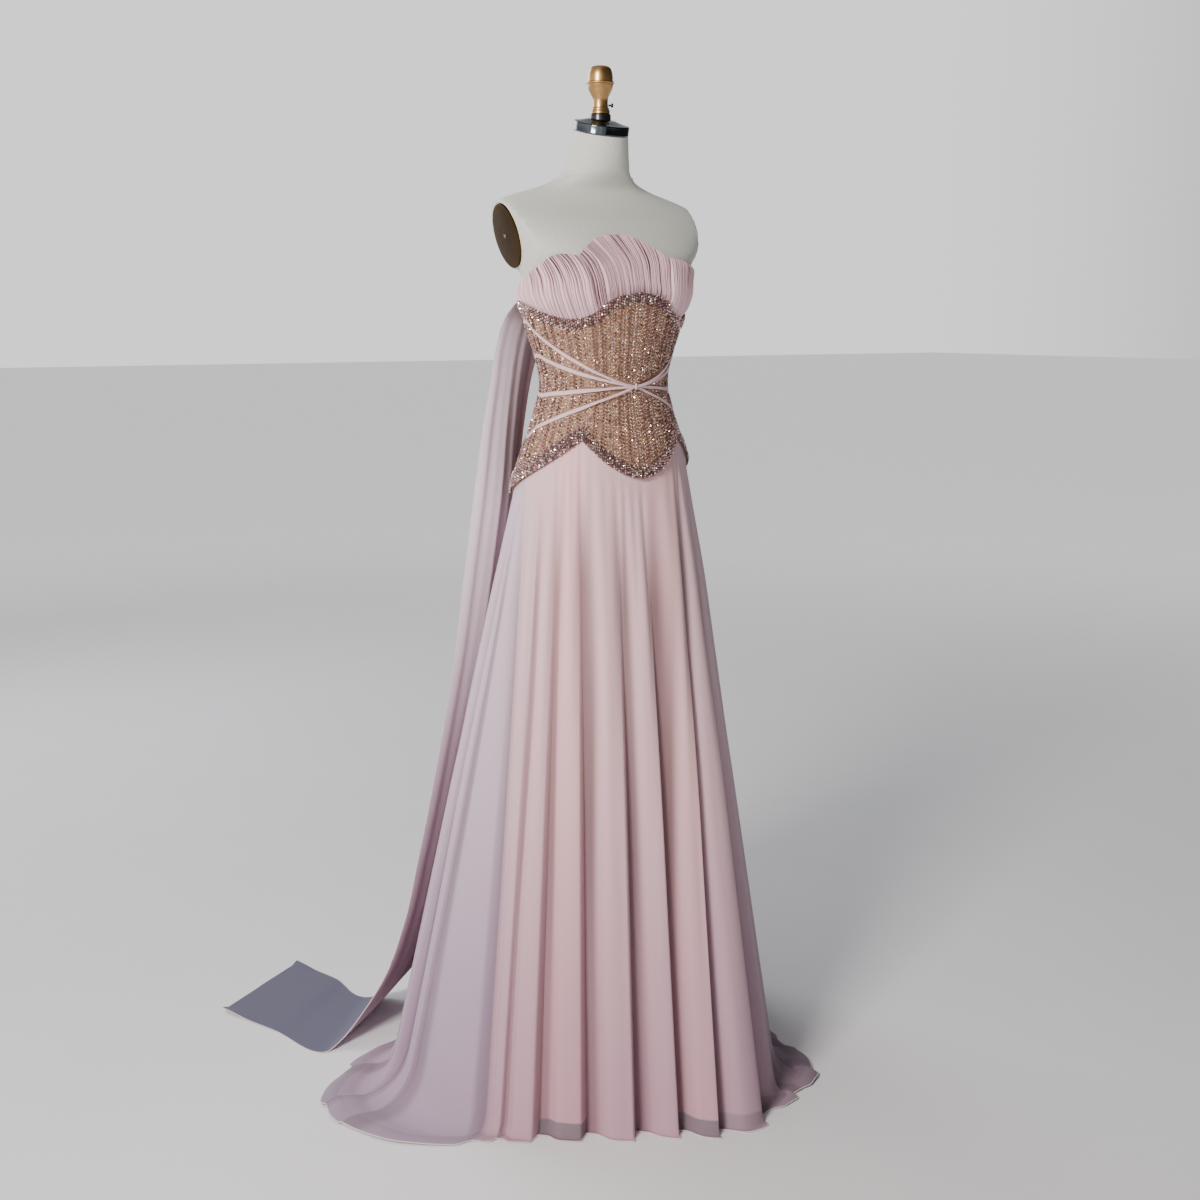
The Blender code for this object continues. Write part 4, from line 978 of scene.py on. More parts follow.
@dataclass
class Beads:
    """One kind of bead, sewn at many places: Geometry Nodes set a copy on each place."""

    name: str
    shape: BeadShape
    width: float
    length: float
    material: Material
    size_spread: float = 0.12
    seed: int = 1
    tilt: float = 0.0

    def tree(self) -> bpy.types.GeometryNodeTree:
        """Build the node tree that puts the beads on their places.

        Returns:
            A tree with the inputs Places, Width, Length, Spread, Seed and Finish.
        """
        tree = bpy.data.node_groups.new(f"{self.name}_sewing", "GeometryNodeTree")
        inputs = (
            ("Places", "NodeSocketGeometry"), ("Width", "NodeSocketFloat"),
            ("Length", "NodeSocketFloat"), ("Spread", "NodeSocketFloat"), ("Seed", "NodeSocketInt"),
            ("Finish", "NodeSocketMaterial"))
        for label, kind in inputs:
            tree.interface.new_socket(label, in_out="INPUT", socket_type=kind)
        tree.interface.new_socket("Beads", in_out="OUTPUT", socket_type="NodeSocketGeometry")
        given = add_node(tree, "NodeGroupInput").outputs
        size = add_node(
            tree, "CombineXYZ", {"X": given["Width"], "Y": given["Length"], "Z": given["Width"]})
        least, most = (
            add_node(tree, "Math", {0: 1.0, 1: given["Spread"]}, operation=way)
            for way in ("SUBTRACT", "ADD"))
        vary, shade = (
            add_node(
                tree, "FunctionNodeRandomValue", {2: low, 3: high, "Seed": given["Seed"]},
                data_type="FLOAT")
            for low, high in ((least, most), (0.0, 1.0)))
        scaled = add_node(tree, "VectorMath", {0: size, "Scale": vary}, operation="SCALE")
        turn = add_node(
            tree, "GeometryNodeInputNamedAttribute", {"Name": "turn"}, data_type="FLOAT_VECTOR")
        placed = add_node(
            tree, "GeometryNodeInstanceOnPoints",
            {"Points": given["Places"], "Instance": self.bead_mesh(tree), "Rotation": turn,
             "Scale": scaled})
        tinted = add_node(
            tree, "GeometryNodeStoreNamedAttribute",
            {"Geometry": placed, "Name": "tint", "Value": shade}, data_type="FLOAT", domain="INSTANCE")
        whole = add_node(tree, "GeometryNodeRealizeInstances", {"Geometry": tinted})
        finished = add_node(
            tree, "GeometryNodeSetMaterial", {"Geometry": whole, "Material": given["Finish"]})
        add_node(tree, "NodeGroupOutput", {"Beads": finished})
        return tree

    def bead_mesh(self, tree: NodeTree) -> Node:
        """One bead of unit size: a cut ball, a smooth five-sided rod or a flat-cut cone."""
        if self.shape is BeadShape.CUT:
            return add_node(tree, "GeometryNodeMeshIcoSphere", {"Radius": 0.5})
        if self.shape is BeadShape.CRYSTAL:
            return add_node(
                tree, "GeometryNodeMeshCone",
                {"Vertices": 7, "Radius Top": 0.26, "Radius Bottom": 0.5, "Depth": 0.42})
        rod = add_node(tree, "GeometryNodeMeshCylinder", {"Vertices": 5, "Radius": 0.5, "Depth": 1.0})
        laid = add_node(
            tree, "GeometryNodeTransform", {"Geometry": rod, "Rotation": (math.pi / 2, 0.0, 0.0)})
        return add_node(tree, "GeometryNodeSetShadeSmooth", {0: laid, "Shade Smooth": True})

    def sew(self, points: Array, turns: Array) -> Object:
        """Put a bead on every point.

        Args:
            points: The beads' middles.
            turns: Their rotations, as Euler angles.

        Returns:
            One plain mesh of all the beads.
        """
        loose = np.random.default_rng(self.seed + len(points))
        turns = turns + loose.normal(0.0, 1.0, turns.shape) * self.tilt
        places = bpy.data.meshes.new(f"{self.name}_places")
        places.from_pydata(points.tolist(), [], [])
        attribute = places.attributes.new("turn", "FLOAT_VECTOR", "POINT")
        attribute.data.foreach_set("vector", turns.astype(np.float32).ravel())
        holder = put(f"{self.name}_places", places)
        sewing = holder.modifiers.new("sewing", "NODES")
        sewing.node_group = self.tree()
        chosen = {
            "Width": self.width, "Length": self.length, "Spread": self.size_spread, "Seed": self.seed,
            "Finish": self.material}
        for item in sewing.node_group.interface.items_tree:
            if item.name in chosen:
                sewing[item.identifier] = chosen[item.name]
        bpy.context.view_layer.update()
        graph = bpy.context.evaluated_depsgraph_get()
        mesh = bpy.data.meshes.new_from_object(holder.evaluated_get(graph))
        mesh.name = self.name
        if "turn" in mesh.attributes:
            mesh.attributes.remove(mesh.attributes["turn"])
        bpy.data.objects.remove(holder, do_unlink=True)
        return put(self.name, mesh)

    def sew_on(self, surface: BodySurface, places: Array) -> Object:
        """Put a bead at each angle, height, distance and spin on the body's surface."""
        angle, height, out, spin = places.T
        return self.sew(surface.points(angle, height, out), surface.turns(angle, height, spin))


# --------------------------------------
# Bodice
# --------------------------------------


def panel_angles(start: float, end: float, zip_turn: float, seam_turn: float = SEAM_TURN) -> Array:
    """Angles across a panel, drawn in a little at a side seam and more at the zip."""
    angles = np.linspace(start, end, int(round((end - start) / PANEL_STEP)) + 1)
    angles[0] += zip_turn if start == -180 else seam_turn
    angles[-1] -= zip_turn if end == 180 else seam_turn
    return angles


@dataclass
class Corset:
    """The beaded net corset: a front and two backs, with beads in upright columns."""

    surface: BodySurface
    palette: Palette
    straps: "WaistStraps"
    inside: float = 0.0040
    outside: float = 0.0056
    under_trim: float = 0.0072
    zip_turn: float = 1.9
    zip_clear: float = 3.0
    side_clear: float = 1.2
    rows: int = 56
    columns: int = 54
    column_top: float = 0.016
    column_foot: float = 0.002
    bead: float = 0.0043
    bead_pitch: float = 0.0058
    crystal_pitch: float = 0.0050
    chevron_pitch: float = 0.0060
    panels: tuple = (
        ("front", -90, 90, (0.42, 0.31), 0.100), ("back_right", -180, -90, (0.23, 0.36), 0.064),
        ("back_left", 90, 180, (0.23, 0.36), 0.064))

    def build(self) -> None:
        """Build the three panels and sew the beads on each."""
        for name, start, end, flat, area in self.panels:
            panel = self.panel(name, panel_angles(start, end, self.zip_turn))
            beads = self.beadwork(name, start, end)

    def panel(self, name: str, angles: Array) -> Object:
        """One panel of net on its stiff lining, from under the top trim to the lower edge."""
        top = self.surface.top_edge(angles) - self.under_trim
        share = np.linspace(0.0, 1.0, self.rows)[:, None]
        heights = top + (self.surface.lower_edge(angles) - top) * share
        outer = self.surface.points(angles, heights, self.outside)
        inner = self.surface.points(angles, heights, self.inside)
        piece = cloth_wall(f"net_{name}", outer, inner, [self.palette.net])
        return dress(piece, "corset_net", f"corset_{name}")

    def clear(self, edge: float) -> float:
        """How far the columns keep from a panel's edge, in degrees: more at the zip."""
        return self.zip_clear if abs(edge) == 180 else self.side_clear

    def run(self, angle: float, pitch: float, shift: float = 0.0) -> Array:
        """Heights of beads down one column, from the top trim to the lower one."""
        here = np.array(angle)
        top = float(self.surface.top_edge(here)) - self.column_top
        trim = self.surface.lower_edge(here) + self.surface.lower_trim(here)
        bottom = float(trim) - self.column_foot
        count = int((top - bottom) / pitch)
        return top - (np.arange(count) + 0.5 + shift) * pitch

    def beadwork(self, name: str, start: float, end: float) -> list[Object]:
        """Sew one panel's beads: mauve double columns, crystal columns and gilt zigzags.

        Args:
            name: The panel's name.
            start: Its first angle.
            end: Its last angle.

        Returns:
            The bead pieces.
        """
        step = 360.0 / self.columns
        mauve: list[tuple] = []
        crystals: list[tuple] = []
        bugles: list[tuple] = []
        seeds: list[tuple] = []
        chance = np.random.default_rng(41)
        for number in range(self.columns):
            angle = (number - self.columns // 2) * step
            if start + self.clear(start) < angle < end - self.clear(end):
                if number % 3 == 0:
                    self.crystal_column(angle, crystals, mauve, chance)
                else:
                    self.mauve_column(angle, mauve, crystals, chance)
            between = angle + step / 2
            if start < between < end:
                self.zigzag(between, step, bugles, seeds, crystals, chance)
        kinds = (
            (mauve, BeadShape.CUT, self.bead, self.bead, self.palette.mauve_bead, "mauve"),
            (crystals, BeadShape.CRYSTAL, 0.0036, 0.0036, self.palette.crystal, "crystal"),
            (bugles, BeadShape.BUGLE, 0.0019, 0.0052, self.palette.gold_bugle, "bugle"),
            (seeds, BeadShape.CUT, 0.0027, 0.0027, self.palette.gold_seed, "seed"))
        made = []
        for places, shape, width, length, material, label in kinds:
            spots = np.array(places)
            spots = spots[~self.straps.cover(spots[:, 0], spots[:, 1])]
            spots[:, 2] += self.outside
            tilt = 0.0 if shape is BeadShape.BUGLE else 0.32
            beads = Beads(f"corset_{label}_{name}", shape, width, length, material, tilt=tilt)
            made.append(dress(beads.sew_on(self.surface, spots), "corset_net"))
        return made

    def mauve_column(
        self, angle: float, mauve: list, crystals: list, chance: np.random.Generator
    ) -> None:
        """A column of two rows of round beads set in a zigzag, with a rare crystal."""
        for side in (-1, 1):
            for height in self.run(angle, self.bead_pitch, 0.25 * side):
                wide = 0.0023 / self.radius(angle, height)
                wander = chance.normal(0.0, 0.35)
                place = angle + side * math.degrees(wide) + wander * 0.2
                if chance.random() < 0.06:
                    crystals.append((place, height, 0.0022, chance.uniform(0, 50)))
                else:
                    mauve.append((place, height, self.bead * 0.46, chance.uniform(0, 60)))

    def crystal_column(
        self, angle: float, crystals: list, mauve: list, chance: np.random.Generator
    ) -> None:
        """A column of small crystals, with mauve beads close beside some of them."""
        for height in self.run(angle, self.crystal_pitch):
            place = angle + chance.normal(0.0, 0.06)
            crystals.append((place, height, 0.0012, chance.uniform(0, 50)))
            for side in (-1, 1):
                if chance.random() < 0.45:
                    wide = math.degrees(0.0040 / self.radius(angle, height))
                    mauve.append((angle + side * wide, height, self.bead * 0.4, 0.0))

    def zigzag(
        self, angle: float, step: float, bugles: list, seeds: list, crystals: list,
        chance: np.random.Generator
    ) -> None:
        """Gilt bugles in chevrons between two columns, with seed beads at their points."""
        for height in self.run(angle, self.chevron_pitch):
            radius = self.radius(angle, height)
            reach = math.degrees(0.0022 / radius)
            for side in (-1, 1):
                spin = side * (58 + chance.normal(0.0, 7))
                bugles.append((angle + side * reach, height, 0.0008, spin))
            draw = chance.random()
            if draw < 0.10:
                crystals.append((angle, height + 0.0022, 0.0016, chance.uniform(0, 50)))
            elif draw < 0.75:
                seeds.append((angle, height + 0.0024, 0.0010, 0.0))
            edge = step / 2 - math.degrees(0.0040 / radius)
            if radius * math.radians(edge) > 0.0043:
                for side in (-1, 1):
                    if chance.random() < 0.7:
                        place = angle + side * edge * 0.92
                        seeds.append((place, height + chance.normal(0, 0.0008), 0.0010, 0.0))

    def radius(self, angle: float, height: float) -> float:
        """How far the corset lies from the axis, roughly, at one place."""
        point = self.surface.points(np.array(angle), np.array(height), self.outside)
        return math.hypot(point[0], point[1])


@dataclass
class Trims:
    """The two bands of close-set beads on the corset's curved edges."""

    surface: BodySurface
    palette: Palette
    inside: float = 0.0071
    outside: float = 0.0088
    zip_turn: float = 3.4
    top_height: float = 0.017
    seam: float = 0.0003
    bead: float = 0.0043
    row_pitch: float = 0.0038
    crystal_share: float = 0.34
    bead_pitch: float = 0.0040

    def build(self) -> None:
        """Build each band and cover it with beads."""
        angles = panel_angles(-180, 180, self.zip_turn)
        upper = self.surface.top_edge(angles)
        lower = self.surface.lower_edge(angles)
        wide = self.surface.lower_trim(angles)
        self.band("top", angles, upper, upper - self.top_height)
        self.band("bottom", angles, lower + wide, lower - self.seam)

    def band(self, name: str, angles: Array, upper: Array, lower: Array) -> None:
        """One band: a padded strip of net, crowned across, with rows of beads along it."""
        share = np.linspace(0.0, 1.0, 9)[:, None]
        heights = upper + (lower - upper) * share
        crown = self.inside + (self.outside - self.inside) * np.sin(math.pi * share) ** 0.4
        outer = self.surface.points(angles, heights, crown + 0.0002)
        inner = self.surface.points(angles, heights, self.inside)
        strip = cloth_wall(f"band_{name}", outer, inner, [self.palette.trim_ground])
        dress(strip, "trim_beading", f"trim_{name}")
        chance = np.random.default_rng(7 if name == "top" else 11)
        mauve: list[tuple] = []
        crystals: list[tuple] = []
        middle = self.surface.points(angles, 0.5 * (upper + lower), self.outside)
        length = float(run_lengths(middle[None], 1)[0, -1])
        spots = int(length / self.bead_pitch)
        for spot in range(spots):
            share_along = (spot + 0.5) / spots
            angle = float(np.interp(share_along, np.linspace(0, 1, len(angles)), angles))
            high = float(np.interp(angle, angles, upper))
            low = float(np.interp(angle, angles, lower))
            rows = max(4, int((high - low) / self.row_pitch))
            for row in range(rows):
                part = (row + 0.5 + (0.25 if spot % 2 else -0.25)) / rows
                part = min(max(part, 0.06), 0.94)
                place = angle + chance.normal(0.0, 0.10)
                height = high + (low - high) * part + chance.normal(0.0, 0.0003)
                out = self.outside + 0.0006 * math.sin(math.pi * part)
                if chance.random() < self.crystal_share:
                    crystals.append((place, height, out + 0.0006, chance.uniform(0, 50)))
                else:
                    mauve.append((place, height, out, chance.uniform(0, 60)))
        kinds = (
            (mauve, BeadShape.CUT, self.bead, self.palette.mauve_bead, "mauve"),
            (crystals, BeadShape.CRYSTAL, 0.0036, self.palette.crystal, "crystal"))
        for places, shape, width, material, label in kinds:
            beads = Beads(f"band_{name}_{label}", shape, width, width, material, 0.2, tilt=0.3)
            dress(beads.sew_on(self.surface, np.array(places)), "trim_beading")


@dataclass(frozen=True)
class Shell:
    """One pleated shell of the neckline."""

    name: str
    start: float
    end: float
    pleats: int
    neckline: tuple
    puff: float
    flat: tuple


@dataclass
class PleatedShells:
    """Three shells of finely pleated chiffon that make the scalloped neckline."""

    surface: BodySurface
    palette: Palette
    lean: float = 6.0
    inside: float = 0.0040
    lift: float = 0.002
    cloth: float = 0.0012
    relief: float = 0.0034
    under_trim: float = 0.0072
    seam: float = 0.0003
    rows: int = 26
    per_pleat: int = 10
    shells: tuple = (
        Shell(
            "right", -112, -29, 44,
            ((-112, 1.337), (-78, 1.366), (-58, 1.382), (-46, 1.394), (-36, 1.398), (-29, 1.395)),
            0.0040, (0.22, 0.09)),
        Shell(
            "centre", -29, 25, 58,
            ((-29, 1.395), (-20, 1.411), (-10, 1.427), (0, 1.431), (8, 1.425), (16, 1.410), (25, 1.395)),
            0.0020, (0.25, 0.11)),
        Shell(
            "left", 25, 112, 44,
            ((25, 1.395), (36, 1.391), (48, 1.382), (70, 1.368), (90, 1.354), (112, 1.337)),
            0.0050, (0.22, 0.09)))

    def build(self) -> None:
        for number, shell in enumerate(self.shells):
            piece = self.shell(shell, float(number))

    def pleat_relief(self, shell: Shell, across: Array, rise: Array, seed: float) -> Array:
        """How high the pleats stand, from 0 to 1.

        Args:
            shell: The shell.
            across: Places across it, counted in pleats.
            rise: Places up it, from 0 to 1.
            seed: A number that picks the shell's own unevenness.

        Returns:
            The pleats' height at every crossing of the two.
        """
        drift = 0.85 * uneven(0.62 * across, seed) + 0.55 * uneven(0.23 * across + 0.5 * rise, seed)
        place = across + drift
        number = np.floor(place)
        part = place - number
        strength = np.clip(0.70 + 0.90 * uneven(1.7 * number + 1.3 * rise, seed + 2), 0.15, 1.0)
        width = 0.27 + 0.10 * uneven(2.3 * number, seed + 4)
        groove = np.exp(-((np.minimum(part, 1 - part) / width) ** 2))
        bulge = np.sin(math.pi * part) ** 0.5
        broad = 0.5 + 0.5 * uneven(0.33 * across + rise, seed + 5)
        fade = 1.0 if shell.name == "centre" else 0.55 + 0.45 * smooth_step(0.35, 0.9, rise)
        return 1 - fade * np.clip(groove * strength + 0.25 * (1 - bulge) + 0.2 * (1 - broad), 0, 1)

    def shell(self, shell: Shell, seed: float) -> Object:
        """One shell: leaning uneven pleats, a soft puff and a turned upper edge."""
        angles = np.linspace(shell.start, shell.end, shell.pleats * self.per_pleat + 1)
        angles[0] += SEAM_TURN
        angles[-1] -= SEAM_TURN
        top = read_column(shell.neckline, 1, angles)
        bottom = self.surface.top_edge(angles) - self.under_trim + 4 * self.seam
        above = self.surface.top_edge(angles) + 4 * self.seam
        share = np.linspace(0.0, 1.0, self.rows)[:, None]
        heights = np.vstack([bottom, above + (top - above) * share])
        rise = np.concatenate([[[0.0]], share])
        count = (angles - shell.start) / (shell.end - shell.start) * shell.pleats
        sway = 0.5 * np.sin(math.pi * rise) * uneven(0.35 * count, seed + 9)
        leaning = angles - self.lean * rise + sway * 0.6
        pleats = self.pleat_relief(shell, np.broadcast_to(count, heights.shape), rise, seed)
        ends = smooth_step(0.0, 0.8, count) * smooth_step(0.0, 0.8, shell.pleats - count)
        grown = self.relief * pleats * smooth_step(0.0, 0.16, rise) * (0.35 + 0.65 * ends)
        puff = shell.puff * np.sin(math.pi * np.clip(rise, 0.0, 1.0)) ** 0.7
        turned_in = 0.0011 * smooth_step(0.93, 1.0, rise)
        inside = self.inside + self.lift * rise**2 + puff * ends
        inner = self.surface.points(leaning, heights, inside)
        outer = self.surface.points(leaning, heights, inside + self.cloth + grown - turned_in)
        scallop = 0.0007 * smooth_step(0.8, 1.0, rise) * (pleats - 0.5)
        outer[:, :, 2] += scallop
        inner[:, :, 2] += scallop
        # Painted shade in the pleats' grooves, through the fold value and the shell's dark hollow tint.
        fold = smooth_step(0.15, 0.92, pleats)
        piece = cloth_wall(
            f"pleated_shell_{shell.name}", outer, inner, [self.palette.shell], {"fold": fold})
        return dress(piece, "chiffon", f"bust_shell_{shell.name}")


@dataclass
class WaistStraps:
    """Narrow chiffon straps that cross at the front of the waist and fan out to the sides."""

    surface: BodySurface
    palette: Palette
    crossing: float = 1.183
    width: float = 0.0075
    clear: float = 0.0012
    narrowing: float = 0.4
    inside: float = 0.0070
    thick: float = 0.0014
    pitch: float = 0.0018
    side: float = 90.0
    stack_angle: float = 26.0
    flat_angle: float = 50.0
    back_bend: float = 2.2
    zip_turn: float = 1.9
    # Height at the side seam, bend on the way there, rise behind it, and height at the zip.
    ends: tuple = (
        (1.277, 1.42, 0.0375, 1.212), (1.232, 1.30, 0.0120, 1.198), (1.168, 1.10, -0.0060, 1.184),
        (1.113, 1.00, -0.0370, 1.170))

    def line(self, end: tuple, angle: Array) -> Array:
        """Height of the middle of a strap that has this end, at these angles."""
        side_height, bend, behind, back_height = end
        away = np.abs(angle)
        reach = np.minimum(away / self.side, 1.0)
        front = self.crossing + (side_height - self.crossing) * reach**bend
        reach = np.clip((180 - away) / (180 - self.side), 0.0, 1.0)
        bulge = (1 - reach) * reach**3 / (0.25 * 0.75**3)
        back = back_height + (side_height - back_height) * reach**self.back_bend
        return np.where(away <= self.side, front, back + behind * bulge)

    def cover(self, angle: Array, height: Array) -> Array:
        """Whether a strap lies over each of these places, so that no bead fits there."""
        gaps = [np.abs(height - self.line(end, angle)) for end in self.ends]
        return np.min(gaps, axis=0) < 0.5 * self.width + self.clear

    def build(self) -> None:
        """Build the front straps, their binding and the back straps."""
        angles = panel_angles(-self.side, self.side, self.zip_turn)
        for number, end in enumerate(self.ends):
            other = self.ends[len(self.ends) - 1 - number]
            line = np.where(angles < 0, self.line(end, angles), self.line(other, angles))
            self.strap(f"front_{number + 1}", angles, line, number, (0.010, 0.31))
        self.binding()
        for name, start, end in (("right", -180, -90), ("left", 90, 180)):
            angles = panel_angles(start, end, self.zip_turn)
            for number, strap_end in enumerate(self.ends):
                label = f"back_{name}_{number + 1}"
                self.strap(label, angles, self.line(strap_end, angles), 0, (0.010, 0.17))

    def strap(self, name: str, angles: Array, line: Array, layer: int, flat: tuple[float, float]) -> None:
        """One folded ribbon: soft raised edges with a shallow hollow between them."""
        crossing = 1 - smooth_step(self.stack_angle, self.flat_angle, np.abs(angles))
        inside = self.inside + self.pitch * layer * crossing
        half = self.width / 2 * (1 - self.narrowing * crossing)
        share = np.linspace(1.0, -1.0, 11)[:, None]
        wander = 0.00035 * uneven(angles / 6.0, len(name) + layer)
        heights = line + wander + half * share
        crown = np.sqrt(np.clip(1 - share**4, 0.0, 1.0))
        hollow = 0.00028 * np.cos(math.pi * share * 1.4 + 0.5 * uneven(angles / 9, layer + 1.0))
        top = inside + self.thick * (0.45 + 0.55 * crown) - hollow * crown
        outer = self.surface.points(angles, heights, top)
        inner = self.surface.points(angles, heights, inside)
        # Painted shade towards the ribbon's rolled edges, through the fold value and the ribbon's hollow
        # tint.
        fold = np.broadcast_to(0.45 + 0.55 * crown, heights.shape)
        piece = cloth_wall(f"ribbon_{name}", outer, inner, [self.palette.strap], {"fold": fold})
        dress(piece, "chiffon", f"strap_{name}")

    def binding(self) -> None:
        """The small upright loop that binds the four straps where they cross."""
        top = self.inside + self.thick + 3 * self.pitch
        share = np.linspace(-1.0, 1.0, 15)[:, None]
        angles = np.linspace(-0.9, 0.9, 7)
        heights = self.crossing + 0.0058 * share
        bulge = top + 0.0010 - 0.0030 * np.abs(share) ** 3
        crown = 0.0007 * (1 - (angles / 0.9) ** 2)
        outer = self.surface.points(angles, heights, bulge + crown)
        inner = self.surface.points(angles, heights, bulge - 0.0008)
        fold = np.ones(outer.shape[:2])
        piece = cloth_wall("crossing_binding", outer, inner, [self.palette.hem], {"fold": fold})
        dress(piece, "chiffon")


# --------------------------------------
# Skirt and streamer
# --------------------------------------


class Fold(NamedTuple):
    """One fold: from its step, through a hollow in its neighbour's shadow, out to its crest."""

    top: float  # Angle of its step at the corset's edge.
    hem: float  # Angle of its step at the hem.
    depth: float  # How far its crest stands out at the hem.
    wide: float  # Share of it that lies hollow at the top.
    shade: float  # Share of it that lies hollow at the hem.
    # The tone is partly the cloth's own, varying from fold to fold, and partly painted shade: the side
    # folds are cooler and greyer.
    warm: float  # Its tone, from cool 0 to warm 1.
    # The unlined band's grey is painted shade seen through the sheer chiffon.
    sheer: float  # How clearly its hem shows the unlined band.


class Crease(NamedTuple):
    """A minor ridge or hollow of the skirt, which follows its fold and dies out at both ends."""

    column: float
    width: float
    height: float
    start: float
    end: float


@dataclass
class Columns:
    """The columns of one panel's grid, one value of each kind for a column."""

    top: Array
    hem: Array
    depth: Array
    part: Array
    number: Array
    wide: Array
    shade: Array
    warm: Array
    sheer: Array


@dataclass
class Skirt:
    """The folded skirt and train: three panels, each one continuous curved sheet."""

    surface: BodySurface
    palette: Palette
    # Angle, distance of the wall's foot and distance of the hem.
    plan: tuple = (
        (-180, 0.368, 0.560), (-165, 0.358, 0.455), (-150, 0.348, 0.380), (-130, 0.340, 0.362),
        (-116, 0.345, 0.376), (-105, 0.372, 0.455), (-90, 0.410, 0.550), (-75, 0.428, 0.538),
        (-62, 0.420, 0.472), (-50, 0.400, 0.414), (-38, 0.380, 0.390), (-25, 0.376, 0.386),
        (-12, 0.392, 0.402), (0, 0.418, 0.430), (10, 0.388, 0.410), (22, 0.342, 0.410),
        (34, 0.301, 0.396), (46, 0.270, 0.330), (60, 0.256, 0.280), (90, 0.282, 0.322),
        (120, 0.318, 0.440), (150, 0.350, 0.570), (180, 0.368, 0.560))
    # The cool tone of the side folds is partly painted shade.
    # Top angle, hem angle, depth, hollow at the top and at the hem, warmth and sheer band.
    folds: tuple = tuple(Fold(*row) for row in (
        (-180, -180, 0.024, 0.30, 0.26, 0.25, 0.4), (-166, -166, 0.026, 0.25, 0.22, 0.35, 0.2),
        (-153, -153, 0.018, 0.40, 0.34, 0.30, 0.6), (-141, -141, 0.020, 0.30, 0.22, 0.20, 0.2),
        (-129, -129, 0.016, 0.25, 0.30, 0.25, 0.5), (-118, -118, 0.020, 0.30, 0.24, 0.15, 0.3),
        (-103, -103, 0.022, 0.35, 0.30, 0.10, 0.4), (-90, -90, 0.012, 0.30, 0.26, 0.05, 0.2),
        (-88, -83, 0.021, 0.30, 0.20, 0.08, 0.3), (-84, -60, 0.010, 0.24, 0.20, 0.60, 0.0),
        (-70, -56, 0.025, 0.40, 0.14, 0.75, 0.0), (-57, -48, 0.027, 0.16, 0.22, 1.00, 1.0),
        (-43, -37, 0.033, 0.46, 0.26, 0.80, 0.0), (-15, -25, 0.028, 0.28, 0.34, 0.75, 0.0),
        (3, -15, 0.034, 0.62, 0.28, 0.95, 1.0), (40, -7, 0.026, 0.20, 0.20, 0.60, 0.5),
        (54, 5, 0.020, 0.30, 0.30, 0.45, 0.4), (62, 19, 0.024, 0.30, 0.24, 0.30, 0.3),
        (70, 32, 0.020, 0.26, 0.30, 0.20, 0.4), (76, 45, 0.022, 0.30, 0.26, 0.20, 0.2),
        (82, 59, 0.020, 0.30, 0.30, 0.15, 0.4), (86, 74, 0.018, 0.30, 0.26, 0.20, 0.3),
        (90, 90, 0.024, 0.26, 0.22, 0.25, 0.2), (105, 105, 0.026, 0.36, 0.30, 0.30, 0.5),
        (119, 119, 0.024, 0.26, 0.22, 0.20, 0.2), (134, 134, 0.028, 0.30, 0.34, 0.35, 0.4),
        (150, 150, 0.026, 0.34, 0.26, 0.25, 0.3), (165, 165, 0.024, 0.26, 0.24, 0.30, 0.4),
        (180, 180, 0.0, 0.3, 0.3, 0.3, 0.3)))
    # Fold and place across it, width, height, and where it starts and ends down the skirt.
    creases: tuple = tuple(Crease(*row) for row in (
        (8.40, 0.12, 0.0028, 0.20, 0.90), (9.36, 0.10, -0.0024, 0.30, 1.00),
        (9.70, 0.12, 0.0020, 0.06, 0.60), (10.70, 0.13, 0.0024, 0.10, 0.80),
        (11.48, 0.12, -0.0018, 0.25, 0.95), (11.66, 0.09, 0.0020, 0.04, 0.50),
        (12.58, 0.12, 0.0026, 0.15, 0.80), (12.80, 0.08, -0.0016, 0.45, 1.00),
        (13.58, 0.13, -0.0024, 0.35, 1.00), (13.76, 0.09, 0.0022, 0.04, 0.45),
        (14.62, 0.10, 0.0026, 0.02, 0.55), (14.80, 0.08, -0.0018, 0.40, 0.95),
        (15.50, 0.12, -0.0022, 0.20, 0.95), (16.55, 0.10, 0.0024, 0.25, 1.00)))
    # First and last fold that the photo shows, and the creases of each of the other folds.
    shown: tuple = (8, 16)
    hidden_shapes: tuple = ((0.42, 0.12, 0.0026, 0.14, 0.82), (0.68, 0.10, -0.0022, 0.32, 1.00))
    # Where the columns of one fold lie across it, beside even places.
    even_places: tuple = (0.0, 0.20, 0.48, 0.72, 1.0)
    step_share: float = 0.10
    lining: float = 0.0016
    cloth: float = 0.0012
    under_corset: float = 0.008
    below_corset: float = 0.0025
    bend_lowest: float = 0.016
    bend_share: float = 0.45
    ripple: float = 0.012
    ripple_spread: float = 0.110
    # How much painted shade darkens the train where it lies on the floor on the wearer's left.
    floor_painted_shade: float = 0.88
    wall_rows: int = 56
    bend_rows: int = 12
    floor_rows: int = 10
    panels: tuple = (
        ("back_right", -180, -90, 24, (1.10, 1.25), 0.56), ("front", -90, 90, 27, (1.90, 1.15), 1.15),
        ("back_left", 90, 180, 24, (1.10, 1.25), 0.56))

